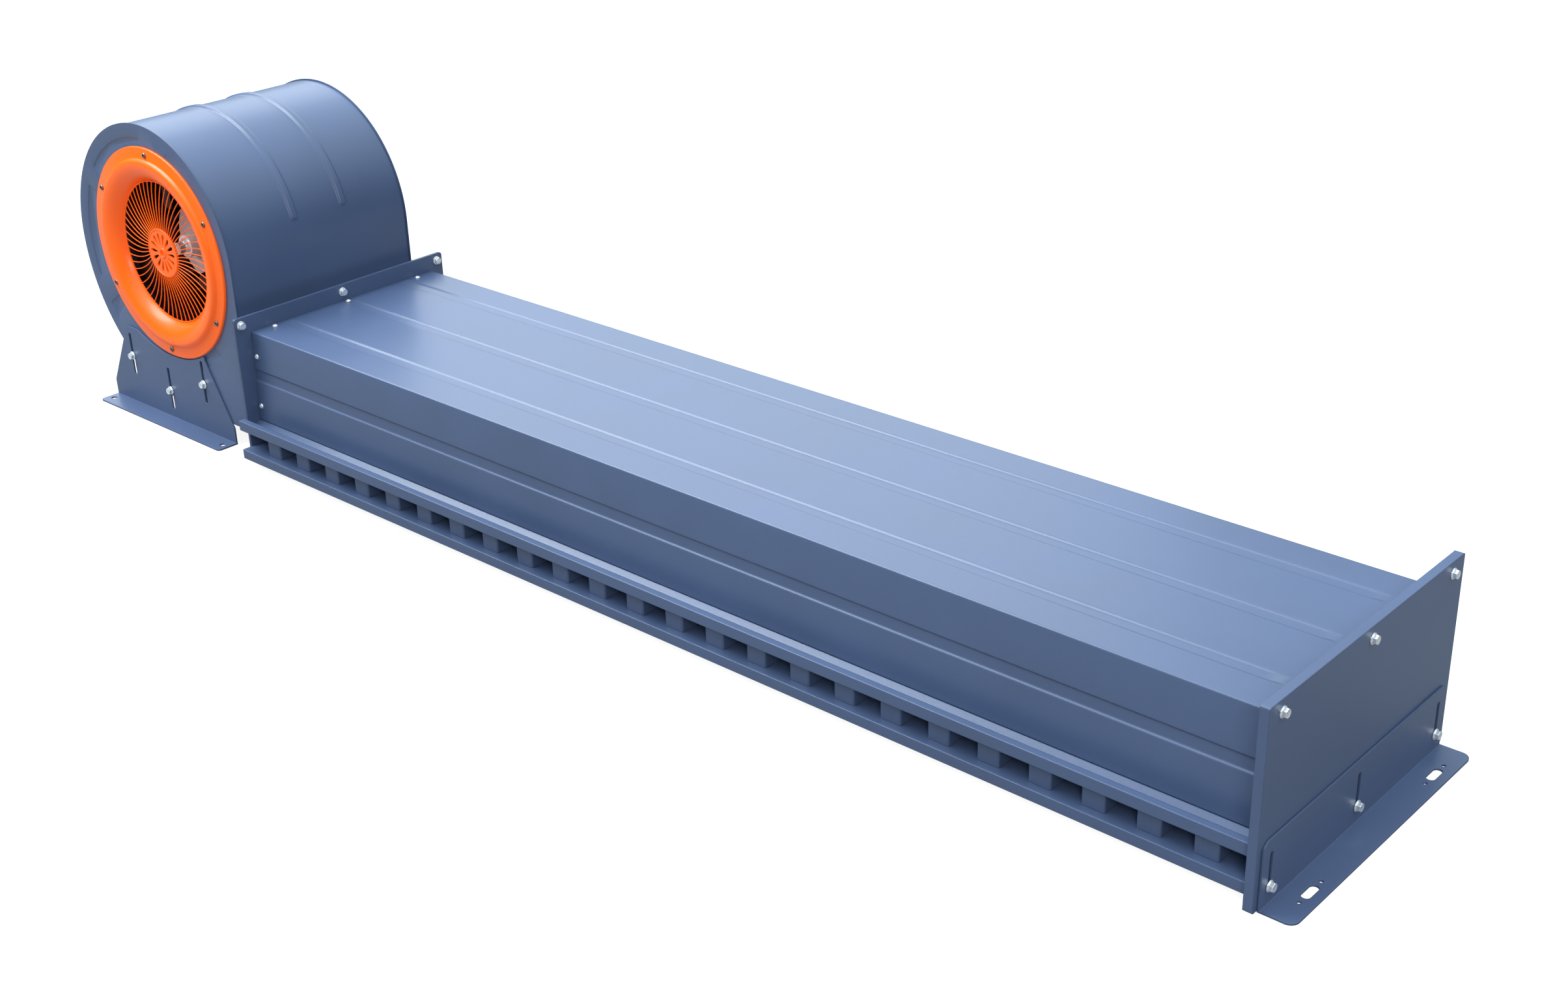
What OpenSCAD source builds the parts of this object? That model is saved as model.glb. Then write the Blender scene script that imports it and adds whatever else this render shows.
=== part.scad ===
// Industrial air curtain: a double-inlet centrifugal blower bolted to the end of a long
// sheet-metal duct, which blows out through a slot nozzle along its lower front edge.
// Millimetres. +X runs from the blower to the closed end, -Y is the nozzle side, +Z is up,
// and the floor is Z = 0. Inside the file X = 0 is the joint between blower and duct, and
// Y = 0 is the middle of the end plate; each part is moved to the row frame by seat().

/* [Duct] */
// Length of the duct over its two end flanges
duct_l = 1760; // [1200:2:2200]
// How much wider than the blower casing the duct is
duct_over = 14; // [8:1:24]
// How far the duct's middle lies behind the middle of the end plate
duct_shift = 16; // [10:1:22]
// Height of the duct's top above the floor
duct_top = 208; // [190:1:225]
// Height of the duct's underside above the floor
duct_base = 13; // [10:1:18]
// Thickness of the duct's sheet
duct_sheet = 1.5; // [1:0.1:2.5]
// How far the front panel leans out towards its lower edge
panel_lean = 7; // [0:0.5:12]
// Height of the front panel's lower edge
panel_base = 67; // [62:1:75]
// Pitch of the three stiffening grooves along the top
groove_pitch = 114.5; // [100:0.5:120]
// How far the middle groove lies behind the duct's middle
groove_shift = 1; // [0:0.5:15]
// Width of a top groove
groove_w = 20.5; // [14:0.5:24]
// Depth of a top groove
groove_depth = 2.1; // [1:0.1:3]
// Run of a groove's sloping side
groove_flank = 3; // [2:0.1:5]
// How far the grooves stop short of the collar at the joint
groove_gap = 2; // [2:1:60]
// How far the grooves stop short of the collar at the closed end
groove_gap_far = 22; // [2:1:60]
// Height of the middle of the recessed band along the front
band_z = 141; // [125:1:150]
// Width of the recessed band along the front
band_w = 17; // [10:0.5:24]
// Depth of the recessed band
band_depth = 1.5; // [0.5:0.1:2]

/* [Nozzle] */
// How far the nozzle stands forward of the duct's top front edge
nozzle_reach = 44; // [38:1:50]
// Height of the slot's floor
slot_floor = 28; // [24:1:32]
// Height of the slot's roof
slot_roof = 60; // [54:0.5:61]
// Height of the upper lip's face
lip_h = 16; // [12:0.5:20]
// Width of the lip's top return
lip_return = 10; // [6:0.5:14]
// How far the sloped strip under the front panel runs forward
strip_out = 10; // [6:0.5:14]
// How far the lower rail's return runs back under the slot
rail_return = 12; // [6:0.5:20]
// How far the slot floor runs back into the duct
slot_depth = 62; // [55:1:80]
// Number of spacer blocks in the slot
block_n = 24; // [4:1:30]
// Width of a spacer block
block_w = 31; // [24:0.5:40]
// Depth of a spacer block
block_d = 28; // [20:0.5:30]
// Wall of a spacer block, which is a piece of square tube
block_wall = 1.5; // [1:0.1:3]
// Corner radius of a spacer block
block_corner = 3; // [2:0.1:5]
// How far the blocks stand back from the rail's face
block_setback = 12; // [8:0.5:16]
// Distance from a flange's outer face to the nearest block
block_end = 53; // [30:1:80]

/* [Flanges] */
// How much wider than the duct the two joint flanges are
flange_over = 51; // [44:1:56]
// How far the joint flanges' middle lies behind the middle of the end plate
flange_shift = 13.5; // [10:0.5:18]
// Height of the joint flanges' top edge
flange_top = 234; // [228:1:242]
// Thickness of the flanges
flange_t = 2; // [1.5:0.1:4]
// Corner radius of the joint's flanges
flange_corner = 5; // [1:0.5:8]
// Gap between the two flanges at the joint
joint_gap = 0.5; // [0:0.1:1]
// Height of the floor sheet's lap up the duct's back
floor_lap = 22; // [14:1:30]
// Length of the collar that each duct flange has inside the duct
collar_l = 22; // [18:1:40]
// Distance of the flange bolts from the flange's edge
bolt_edge = 11.5; // [9:0.5:13]
// How much wider than the duct the flange at the closed end is
end_flange_over = 72; // [64:1:72]
// Height of the top edge of the flange at the closed end
end_flange_top = 243; // [236:1:243]

/* [End plate] */
// How much wider than the duct the end plate is
end_plate_over = 78; // [76:1:88]
// Height of the end plate's top edge
end_plate_top = 247; // [246:1:256]
// Height of the end plate's lower edge above the floor
end_plate_base = 1; // [0.5:0.1:3]
// Thickness of the end plate
end_sheet = 1.5; // [1:0.1:2]
// Depth of the rim folded back round the end plate
end_rim = 11.5; // [8:0.5:16]
// Outer radius of the rim's corners
end_corner = 3; // [2:0.5:6]

/* [Blower casing] */
// Width of the scroll casing over its side plates
casing_w = 338; // [320:1:350]
// How far the casing's middle lies behind the middle of the end plate
casing_shift = 7; // [4:0.5:10]
// Thickness of the casing's sheet
casing_sheet = 1.5; // [1:0.1:2.5]
// Distance of the fan shaft from the joint
shaft_back = 215; // [212:1:225]
// Height of the fan shaft above the floor
shaft_z = 287; // [284:1:292]
// Distance from the shaft to the scroll's sheet on the duct side
scroll_right = 185.5; // [184:0.5:188]
// Distance from the shaft to the scroll's sheet at the top
scroll_top = 201.5; // [200:0.5:204]
// Distance from the shaft to the scroll's sheet on the far side
scroll_left = 222; // [220:0.5:226]
// Distance from the shaft to the scroll's sheet at the bottom
scroll_bottom = 251; // [248:0.5:253]
// How far the first arc's centre lies behind the shaft
scroll_step = 10.8; // [8:0.1:14]
// How far the side plates stand proud of the wrapped sheet
scroll_rim = 2.5; // [1:0.1:5]
// Height of the casing's outlet roof
mouth_top = 206; // [200:1:207]
// How far the scroll's two beads stand out
wrap_bead_h = 3; // [1:0.1:4]
// Radius of the scroll's beads
wrap_bead_r = 8; // [6:0.1:10]
// How far the side plates' pressed pads lie inside the rim
pad_in = 19; // [14:0.5:24]
// Height of the pressed pads
pad_h = 0.6; // [0.4:0.1:1.2]
// Distance between the scroll's two beads
wrap_bead_pitch = 93; // [80:1:110]
// How far the two beads' middle lies behind the casing's middle
wrap_bead_shift = 9; // [0:0.5:15]
// Angle where the beads start on the duct side
wrap_bead_from = 16; // [5:1:30]
// Angle where the beads end on the far side
wrap_bead_to = 160; // [120:1:175]
// Radius of the cut-off's nose
nose_r = 7; // [5:0.5:10]
// Gap between the cut-off and the wheel
nose_gap = 12; // [8:0.5:16]
// Angle of the cut-off's nose below the shaft
nose_angle = 42; // [40:1:44]

/* [Inlets] */
// Outer radius of an inlet ring
ring_r = 170; // [168:0.5:172]
// Radius of the circle of ring screws
ring_screw_circle = 159; // [157:0.5:161]
// Angle of the first ring screw
ring_turn = 88.5; // [85:0.5:95]
// Number of ring screws
ring_screw_n = 6; // [3:1:12]
// Thickness of the ring's flat flange
ring_flange_t = 4; // [3:0.1:5]
// Radius at the crest of the bell mouth
ring_crest_r = 144; // [143:0.5:146]
// How far the crest stands out of the side plate
ring_crest_h = 10; // [8:0.5:14]
// Radius of the rounding outside the crest
ring_lip_r = 8; // [7:0.5:9]
// Radius of the throat
throat_r = 112; // [111:0.5:113]
// Wall thickness of the bell mouth
ring_wall = 2.5; // [2:0.1:3]
// Radius of the hole in each side plate
eye_r = 147; // [146:0.5:148]
// Number of spokes in an inlet guard
spoke_n = 56; // [12:1:60]
// Thickness of a spoke
spoke_t = 1.6; // [1.4:0.1:2.5]
// Depth of a guard spoke along the shaft
spoke_depth = 2; // [1.6:0.1:3]
// How far the spokes lean back towards the guard's edge, in degrees
guard_tilt = 5; // [3:0.5:8]
// Radius of the guard's hub disc
guard_hub_r = 39; // [34:0.5:44]
// Radius of the gentle curve of a spoke
spoke_curve = 144; // [120:2:200]
// Thickness of the guard's hub disc
guard_hub_t = 3; // [2:0.1:4]
// Number of slots in the hub disc
petal_n = 14; // [6:1:16]
// Depth of the guard's outer edge behind the side plate's face
guard_rim_depth = 10; // [8:0.5:14]
// Thickness of the guard's outer edge
guard_rim_t = 3; // [2:0.1:4]

/* [Fan wheel] */
// Outer radius of the fan wheel
wheel_r = 133; // [130:0.5:135]
// Depth of the ring of blades, from its outer to its inner radius
blade_depth = 19.5; // [18:0.5:21]
// Distance between a side plate's outer face and the nearest end ring of the wheel
wheel_gap = 31; // [31:0.5:38]
// Number of blades on each half of the wheel
blade_n = 42; // [12:1:48]
// Thickness of a blade
blade_t = 0.8; // [0.6:0.1:1.2]
// Thickness of the wheel's centre plate and end rings
wheel_sheet = 1.5; // [1:0.1:2.5]
// Radius of the hub on the centre plate
hub_r = 22; // [18:0.5:30]
// Length of the hub behind the centre plate
hub_l = 28; // [20:1:36]

/* [Motor] */
// Radius of the motor's can
can_r = 68; // [60:0.5:75]
// Depth of the motor's front face behind the casing's face
motor_depth = 80; // [76:1:84]
// Clearance between the motor and the wheel's centre plate
motor_gap = 12; // [10:0.5:20]
// Thickness of an end shield
shield_t = 10; // [8:0.5:14]
// Radius of the bright raised face on an end shield
shield_face_r = 49; // [44:0.5:54]
// Height of the raised face
shield_face_t = 4; // [3:0.5:6]
// Radius of the bearing boss
boss_r = 18; // [16:0.5:20]
// Length of the front bearing boss
boss_l = 35; // [30:0.5:38]
// Length of the shaft's nose in front of the bearing boss
nose_l = 15; // [10:1:18]
// Radius of the motor's shaft
shaft_r = 9.5; // [8:0.5:10]
// Running clearance between shaft and bearing
bearing_clear = 0.05; // [0.02:0.01:0.08]
// Wall of the motor's can
can_wall = 12; // [8:0.5:16]
// Distance from the shaft to the feet of the bracket's arms
bracket_foot_r = 150; // [148:0.5:152]
// Width of the three bracket arms
arm_w = 20; // [14:1:22]
// Thickness of the bracket's steel
arm_t = 3; // [2:0.5:4]
// Length of the band round the motor's can
clamp_w = 24; // [18:1:34]

/* [Feet] */
// Thickness of the feet's steel
foot_sheet = 2.5; // [2:0.1:3]
// Gap between a foot and the sheet it lies on
foot_gap = 0.3; // [0.2:0.05:0.5]
// Length of a blower foot
foot_l = 336; // [328:1:340]
// How far a blower foot's middle lies behind the shaft
foot_back = 29.5; // [26:0.5:32]
// Height of a blower foot's upright ends
foot_kink = 28; // [22:1:34]
// Height of a blower foot's two horns
foot_top = 137; // [134:1:140]
// Half the distance over the horns
horn_half = 112; // [110:1:116]
// Radius of the horns' tips
horn_r = 9; // [7:0.5:11]
// Radius of the hollow between the horns
hollow_r = 182; // [180:1:186]
// Width of the flange on a blower foot
foot_flange = 36; // [34:1:37]
// Distance between the slots of a blower foot
foot_slot_pitch = 100.5; // [99:0.5:102]
// Height of the outer slots' middle
foot_slot_z = 89; // [88:0.5:90]
// Height of the middle slot's middle
foot_mid_slot_z = 53; // [52:0.5:54]
// Length of a slot in a blower foot
foot_slot_l = 72; // [66:1:74]
// Height of the bolts below the slots' middles
foot_bolt_drop = 3; // [0:0.5:6]
// Radius of the anchor holes in a blower foot
foot_hole_r = 4.75; // [4:0.25:6]
// Distance of the anchor holes from a blower foot's ends
foot_hole_end = 13; // [11:0.5:16]
// Distance of the anchor holes from the casing's face
foot_hole_out = 19; // [18:0.5:22]
// How far each end of the end foot lies inside the end plate
end_foot_in = 9; // [7:0.5:12]
// Height of the end foot's upright plate
end_foot_h = 84; // [80:1:88]
// Width of the end foot's flange
end_foot_flange = 43; // [42:0.5:48]
// Corner radius of the feet
foot_corner = 12; // [8:0.5:14]
// Distance of the outer bolts of the end plate from its edge
end_bolt_in = 26.5; // [24:0.5:30]
// Height of the lowest point of the end foot's slots
end_slot_low = 21; // [19:0.5:22]
// Height of the highest point of the end foot's slots
end_slot_high = 67; // [64:0.5:70]
// Distance of an anchor slot's middle from the end foot's end
anchor_in = 63; // [55:1:70]
// Distance of the anchor slots from the end plate's face
anchor_out = 26.5; // [26:0.5:28]
// Length of an anchor slot
anchor_l = 28; // [24:0.5:30]
// Width of an anchor slot
anchor_w = 11; // [9:0.5:12]
// Distance of the pilot holes from the middle of their anchor slot
pilot_out = 23.5; // [22:0.5:25]
// Radius of a pilot hole
pilot_r = 2.5; // [2:0.25:3]

/* [Fasteners] */
// Shank radius of the hexagon bolts
bolt_r = 3; // [2.5:0.25:3.25]
// Width across the flats of a bolt head
bolt_flats = 10; // [9:0.5:12]
// Height of a bolt head
bolt_head_h = 5; // [4:0.5:6]
// Radius of the washer flange under a bolt head
washer_r = 7; // [6.5:0.25:8]
// Thickness of the washer flange
washer_t = 1.5; // [1:0.1:2]
// Height of a nut
nut_h = 5; // [4:0.5:6]
// Half the width of a slot for a bolt
slot_r = 3.4; // [3.3:0.05:4]
// Shank radius of the small screws
screw_r = 2; // [1.5:0.25:2.25]
// Head radius of the small screws
screw_head_r = 4.2; // [3.5:0.1:5]
// Head height of the small screws
screw_head_h = 2.6; // [2:0.1:3.5]
// Distance of the cover's screws from the joint flange
screw_in = 9; // [6:0.5:12]
// Distance between the cover's screws along the top
screw_pitch = 139; // [120:1:150]
// Height of the upper screw in the cover's front
screw_high = 170; // [160:1:185]
// Height of the lower screw in the cover's front
screw_low = 90; // [80:1:120]
// Radius added to a shank for its hole
hole_clear = 0.2; // [0.1:0.05:0.4]

/* [Hidden] */
$fn = 64;

// Overrun of every cut
cut = 1;
// Shares and steps of small forms
head_dome_share = 1.25;
bearing_out_share = 0.75;
vent_share = 0.66;
vent_r_share = 0.11;
vent_n = 6;
petal_in_share = 0.36;
petal_out_share = 0.78;
petal_tip_share = 0.075;
guard_boss_share = 0.26;
blade_cup_share = 0.25;
blade_steps = 5;
blade_lean = 40;
arm_n = 3;
arm_angle = 360 / arm_n;
hub_screw_n = 4;
// Finishes
slate = [0.27, 0.34, 0.46];
slate_dark = [0.2, 0.25, 0.34];
orange = [1, 0.42, 0.1];
zinc = [0.78, 0.78, 0.8];
dark_steel = [0.2, 0.2, 0.22];
cast = [0.72, 0.72, 0.72];
black = [0.06, 0.06, 0.07];

// Widths that follow the blower casing's
duct_w = casing_w + duct_over;
flange_w = duct_w + flange_over;
end_flange_w = duct_w + end_flange_over;
end_plate_w = duct_w + end_plate_over;
end_foot_w = end_plate_w - 2 * end_foot_in;
end_slot_pitch = end_plate_w / 2 - end_bolt_in;
anchor_pitch = end_foot_w - 2 * anchor_in;
wheel_w = casing_w - 2 * wheel_gap;

// Places across the unit, from the front (-Y) to the back
duct_front = duct_shift - duct_w / 2;
duct_back = duct_shift + duct_w / 2;
panel_foot_y = duct_front - panel_lean;
strip_y = panel_foot_y - strip_out;
nozzle_front = duct_front - nozzle_reach;
flange_front = flange_shift - flange_w / 2;
flange_back = flange_shift + flange_w / 2;
casing_front = casing_shift - casing_w / 2;
casing_back = casing_shift + casing_w / 2;

// Places along the unit, from the joint
duct_start = joint_gap + flange_t;
duct_end = duct_l - flange_t;
end_face = duct_l + end_sheet;
shaft_x = -shaft_back;
foot_x = shaft_x - foot_back;
foot_out_x = end_face + foot_gap + end_foot_flange;
row_x = -(shaft_x - scroll_left - scroll_rim + foot_out_x) / 2;

// The scroll's three arcs, from the shaft: the first over the duct side, the second over the
// far side, the third under it
arc1_x = -scroll_step;
arc1_r = scroll_right - arc1_x;
arc1_z = scroll_top - arc1_r;
arc2_r = scroll_left + arc1_x;
arc2_z = scroll_top - arc2_r;
arc3_r = scroll_bottom + arc2_z;
arc3_x = arc3_r - scroll_left;
mouth_x = shaft_back - flange_t;
mouth_z = mouth_top - shaft_z;
casing_base = shaft_z - scroll_bottom;

// The bell mouth's big arc, and the guard inside it
bell_r = ring_crest_r - throat_r;
bell_z = ring_crest_h - bell_r;
rim_in_z = -guard_rim_depth - guard_rim_t / 2;
spoke_run = throat_r - guard_hub_r;
hub_z = spoke_run * tan(guard_tilt) - guard_rim_depth;
rim_r = ring_crest_r - sqrt(pow(bell_r, 2) - pow(rim_in_z - bell_z, 2)) - hole_clear;

// The motor and the wheel along Y, from the casing's front face
wheel_mid = casing_shift;
blade_in_r = wheel_r - blade_depth;
wheel_front = wheel_mid - wheel_w / 2;
motor_front = casing_front + motor_depth;
motor_back = wheel_mid - motor_gap - wheel_sheet / 2;
motor_l = motor_back - motor_front;
boss_tip = motor_front - boss_l;
shaft_tip = boss_tip - nose_l;
shaft_tail = wheel_mid + hub_l + hub_r / 2;
arm_y = (casing_front + bell_r - ring_crest_h + wheel_front) / 2;

bolt_row_top = flange_top - bolt_edge;
bolt_row_base = duct_base + bolt_edge;
end_bolt_low = end_slot_low + slot_r;
end_bolt_high = end_flange_top - bolt_edge;
foot_bolt_z = foot_slot_z - foot_bolt_drop;
foot_mid_bolt_z = foot_mid_slot_z - foot_bolt_drop;

// Moves a part from the joint to the row frame
module seat() translate([row_x, 0, 0]) children();

// A flat shape drawn as (x, z), as a plate from y = y0 to y0 + t
module plate_xz(y0, t) translate([0, y0 + t, 0]) rotate([90, 0, 0]) linear_extrude(t) children();

// A flat shape drawn as (y, z), as a plate from x = x0 to x0 + t
module plate_yz(x0, t) translate([x0, 0, 0]) rotate([90, 0, 90]) linear_extrude(t) children();

// Round bars along X and Y
module bar_x(x0, y, z, r, l) translate([x0, y, z]) rotate([0, 90, 0]) cylinder(h = l, r = r);
module bar_y(x, y0, z, r, l) translate([x, y0, z]) rotate([-90, 0, 0]) cylinder(h = l, r = r);

// A straight run of sheet between two points
module run(p, q, t) {
    d = q - p;
    translate(p) rotate(atan2(d[1], d[0])) translate([0, -t / 2]) square([norm(d), t]);
}

// A sheet folded along a line of points, with round bends
module folded(points, t) {
    for (i = [1:len(points) - 1]) run(points[i - 1], points[i], t);
    for (i = [1:len(points) - 2]) translate(points[i]) circle(t / 2);
}

// A rectangle between two corners, with round corners of radius r
module round_rect(a, b, r) {
    translate([a[0] + r, a[1]]) square([b[0] - a[0] - 2 * r, b[1] - a[1]]);
    translate([a[0], a[1] + r]) square([b[0] - a[0], b[1] - a[1] - 2 * r]);
    for (x = [a[0] + r, b[0] - r], z = [a[1] + r, b[1] - r]) translate([x, z]) circle(r);
}

// A slot standing on end, from height z0 to z1
module slot_up(x, z0, z1, r) {
    translate([x - r, z0 + r]) square([2 * r, z1 - z0 - 2 * r]);
    for (z = [z0 + r, z1 - r]) translate([x, z]) circle(r);
}

// Hexagon bolt with a washer flange, its head's seat at z = 0 and its shank down -Z
module hex_bolt(l) {
    cylinder(h = washer_t, r = washer_r);
    translate([0, 0, washer_t]) cylinder(h = bolt_head_h, r = bolt_flats / sqrt(3), $fn = 6);
    translate([0, 0, -l]) cylinder(h = l, r = bolt_r);
}

// Hexagon nut with its seat at z = 0
module hex_nut() {
    difference() {
        cylinder(h = nut_h, r = bolt_flats / sqrt(3), $fn = 6);
        translate([0, 0, -cut]) cylinder(h = nut_h + 2 * cut, r = bolt_r);
    }
}

// Round-head screw with its head's seat at z = 0 and its shank down -Z
module round_screw(l) {
    difference() {
        intersection() {
            cylinder(h = screw_head_h, r = screw_head_r);
            translate([0, 0, screw_head_h - screw_head_r * head_dome_share])
                sphere(r = screw_head_r * head_dome_share);
        }
        translate([0, 0, screw_head_h - screw_r / 2]) cylinder(h = screw_r, r = screw_r / 2, $fn = 6);
    }
    translate([0, 0, -l]) cylinder(h = l, r = screw_r);
}

// One quarter of a disc, towards (sx, sz)
module quarter(r, sx, sz) {
    intersection() {
        circle(r);
        translate([min(0, sx * r), min(0, sz * r)]) square(r);
    }
}

// Outline of the scroll from the shaft, grown by g
module scroll_shape(g) {
    translate([arc1_x, arc1_z]) quarter(arc1_r + g, 1, 1);
    translate([arc1_x, arc2_z]) quarter(arc2_r + g, -1, 1);
    translate([arc3_x, arc2_z]) quarter(arc3_r + g, -1, -1);
    polygon([
        [arc3_x, -scroll_bottom - g], [mouth_x, -scroll_bottom - g], [mouth_x, mouth_z + g],
        [scroll_right + g, mouth_z + g], [scroll_right + g, arc1_z], [arc1_x, arc1_z],
        [arc1_x, arc2_z], [arc3_x, arc2_z]
    ]);
}

// Section of the duct's inside as (y, z), drawn in by g from its outer face
module duct_section(g) {
    polygon([
        [duct_front + g, duct_top - g], [duct_back - g, duct_top - g],
        [duct_back - g, duct_base + g], [duct_front + g, duct_base + g],
        [panel_foot_y + g, panel_base]
    ]);
}

panel_angle = atan(panel_lean / (duct_top - panel_base));
// Front panel's outer face at height z
function panel_y(z) = duct_front - panel_lean * (duct_top - z) / (duct_top - panel_base);

// Places of the bolts round a flange: a row of three along the top and one along the bottom
function joint_bolt_y(i) = flange_shift + (i - 1) * (flange_w / 2 - bolt_edge);
function end_bolt_y(i) = (i - 1) * end_slot_pitch;

// Casing
module wrap_bead(cx, cz, r, from, to) {
    for (side = [-1, 1])
        translate([shaft_x + cx, casing_shift + wrap_bead_shift + side * wrap_bead_pitch / 2, shaft_z + cz])
            rotate([90, 0, 0]) rotate([0, 0, from]) rotate_extrude(angle = to - from)
                intersection() {
                    translate([r + wrap_bead_h - wrap_bead_r, 0]) circle(wrap_bead_r);
                    translate([r - casing_sheet / 2, -wrap_bead_r]) square([wrap_bead_r, 2 * wrap_bead_r]);
                }
}

module scroll_wrap() {
    color(slate) seat() {
        translate([shaft_x, 0, shaft_z])
            plate_xz(casing_front + casing_sheet, casing_w - 2 * casing_sheet) difference() {
                scroll_shape(0);
                scroll_shape(-casing_sheet);
            }
        wrap_bead(arc1_x, arc1_z, arc1_r, wrap_bead_from, 90);
        wrap_bead(arc1_x, arc2_z, arc2_r, 90, wrap_bead_to);
    }
}

module foot_bolt_holes(r) {
    for (i = [-1:1])
        translate([foot_x - shaft_x + i * foot_slot_pitch,
                (i == 0 ? foot_mid_bolt_z : foot_bolt_z) - shaft_z]) circle(i < 0 ? bolt_r : r);
}

module ring_screw_holes(r, side = 1) {
    for (i = [0:ring_screw_n - 1]) rotate(side * ring_turn + i * 360 / ring_screw_n)
        translate([ring_screw_circle, 0]) circle(r);
}

// Pressed pads round the inlet, each between two angles; the foot covers the rest
pads = [[71, 83], [93, 145], [156, 202], [214, 222], [304, 313]];
module pad_shape() {
    intersection() {
        scroll_shape(-pad_in);
        for (p = pads) polygon(concat([[0, 0]],
            [for (k = [0:blade_steps]) let (a = p[0] + (p[1] - p[0]) * k / blade_steps)
                2 * scroll_bottom * [cos(a), sin(a)]]));
    }
}

// Side plate with its pads towards side: -1 for the front, 1 for the rear
module scroll_side(y0, side) {
    translate([shaft_x, 0, shaft_z]) {
        plate_xz(y0, casing_sheet) difference() {
            scroll_shape(scroll_rim);
            circle(eye_r);
            foot_bolt_holes(bolt_r + hole_clear);
            ring_screw_holes(screw_r + hole_clear, -side);
        }
        plate_xz(side < 0 ? y0 - pad_h : y0 + casing_sheet, pad_h) difference() {
            pad_shape();
            circle(ring_r + pad_h);
        }
    }
}

module scroll_side_front() {
    color(slate) seat() scroll_side(casing_front, -1);
}

module scroll_side_rear() {
    color(slate) seat() scroll_side(casing_back - casing_sheet, 1);
}

module scroll_cutoff() {
    nose = (wheel_r + nose_gap + nose_r) * [cos(nose_angle), -sin(nose_angle)];
    roof = [mouth_x - casing_sheet, mouth_z - casing_sheet * 1.5];
    wall = [scroll_right - casing_sheet * 1.5, mouth_z + nose_gap * 3];
    low = nose + [0, -nose_r + casing_sheet / 2];
    high = nose + [0, nose_r - casing_sheet / 2];
    color(slate_dark) seat() translate([shaft_x, 0, shaft_z])
        plate_xz(casing_front + casing_sheet, casing_w - 2 * casing_sheet) {
            run(low, roof, casing_sheet);
            run(high, wall, casing_sheet);
            translate(nose) difference() {
                circle(nose_r);
                circle(nose_r - casing_sheet);
                translate([0, -nose_r]) square(2 * nose_r);
            }
        }
}

// Joint between blower and duct
module bolt_row(z, r) {
    for (i = [0:2]) translate([joint_bolt_y(i), z]) circle(r);
}

module mouth_hole() {
    translate([casing_front + casing_sheet, casing_base + casing_sheet])
        square([casing_w - 2 * casing_sheet, mouth_top - casing_base - 2 * casing_sheet]);
}

module outlet_flange() {
    color(slate) seat() plate_yz(-flange_t, flange_t) difference() {
        round_rect([flange_front, duct_base], [flange_front + flange_w, flange_top], flange_corner);
        mouth_hole();
        bolt_row(bolt_row_top, bolt_r + hole_clear);
        bolt_row(bolt_row_base, bolt_r + hole_clear);
    }
}

// Collar inside the duct's cover, open where the cover's band comes in and above the floor's lap
module collar(x0) {
    plate_yz(x0, collar_l) difference() {
        duct_section(duct_sheet);
        duct_section(duct_sheet + flange_t);
        cover_line();
        translate([nozzle_front, band_z - band_w]) square([nozzle_reach + panel_lean + collar_l, 2 * band_w]);
        translate([nozzle_front, 0]) square([nozzle_reach + panel_lean + collar_l, panel_base]);
        translate([nozzle_front, 0]) square([end_plate_w, duct_base + floor_lap + flange_t]);
    }
}

module duct_flange() {
    color(slate) seat() difference() {
        union() {
            plate_yz(joint_gap, flange_t) difference() {
                round_rect([flange_front, duct_base], [flange_front + flange_w, flange_top], flange_corner);
                mouth_hole();
                bolt_row(bolt_row_top, bolt_r + hole_clear);
                bolt_row(bolt_row_base, bolt_r);
            }
            collar(duct_start);
        }
        duct_screw_set() translate([0, 0, -flange_t * 2]) cylinder(h = flange_t * 3, r = screw_r);
    }
}

module joint_bolts() {
    color(zinc) seat() for (i = [0:2]) {
        translate([duct_start, joint_bolt_y(i), bolt_row_top]) rotate([0, 90, 0])
            hex_bolt(duct_start + flange_t + nut_h + washer_t);
        translate([-flange_t, joint_bolt_y(i), bolt_row_base]) rotate([0, -90, 0])
            hex_bolt(duct_start + flange_t);
    }
}

module joint_nuts() {
    color(zinc) seat() for (i = [0:2])
        translate([-flange_t, joint_bolt_y(i), bolt_row_top]) rotate([0, -90, 0]) hex_nut();
}

// Places the screws that hold the duct's cover to a collar, pointing out of the cover
module duct_screw_set() {
    for (i = [-1:1]) translate([duct_start + screw_in, duct_shift + i * screw_pitch, duct_top]) children();
    for (z = [screw_low, screw_high]) {
        translate([duct_start + screw_in, panel_y(z), z]) rotate([90 - panel_angle, 0, 0]) children();
        translate([duct_start + screw_in, duct_back, z]) rotate([-90, 0, 0]) children();
    }
}

module duct_screws() {
    color(zinc) seat() duct_screw_set() round_screw(duct_sheet + flange_t);
}

// Duct, folded from one sheet over its back, top and front
module cover_line() {
    m = duct_sheet / 2;
    hi = band_z + band_w / 2;
    lo = band_z - band_w / 2;
    folded([
        [duct_back - m, duct_base], [duct_back - m, duct_top - m], [duct_front + m, duct_top - m],
        [panel_y(hi) + m, hi], [panel_y(hi) + m + band_depth, hi - band_depth],
        [panel_y(lo) + m + band_depth, lo + band_depth], [panel_y(lo) + m, lo],
        [panel_foot_y + m, panel_base]
    ], duct_sheet);
}

module duct_cover() {
    color(slate) seat() difference() {
        union() {
            plate_yz(duct_start, duct_end - duct_start) cover_line();
            for (i = [-1:1]) top_groove(i, duct_sheet, -duct_sheet / 2);
        }
        for (i = [-1:1]) top_groove(i, 0, cut);
        duct_screw_set() translate([0, 0, -duct_sheet * 2]) cylinder(h = duct_sheet * 3, r = screw_r + hole_clear);
    }
}

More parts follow.
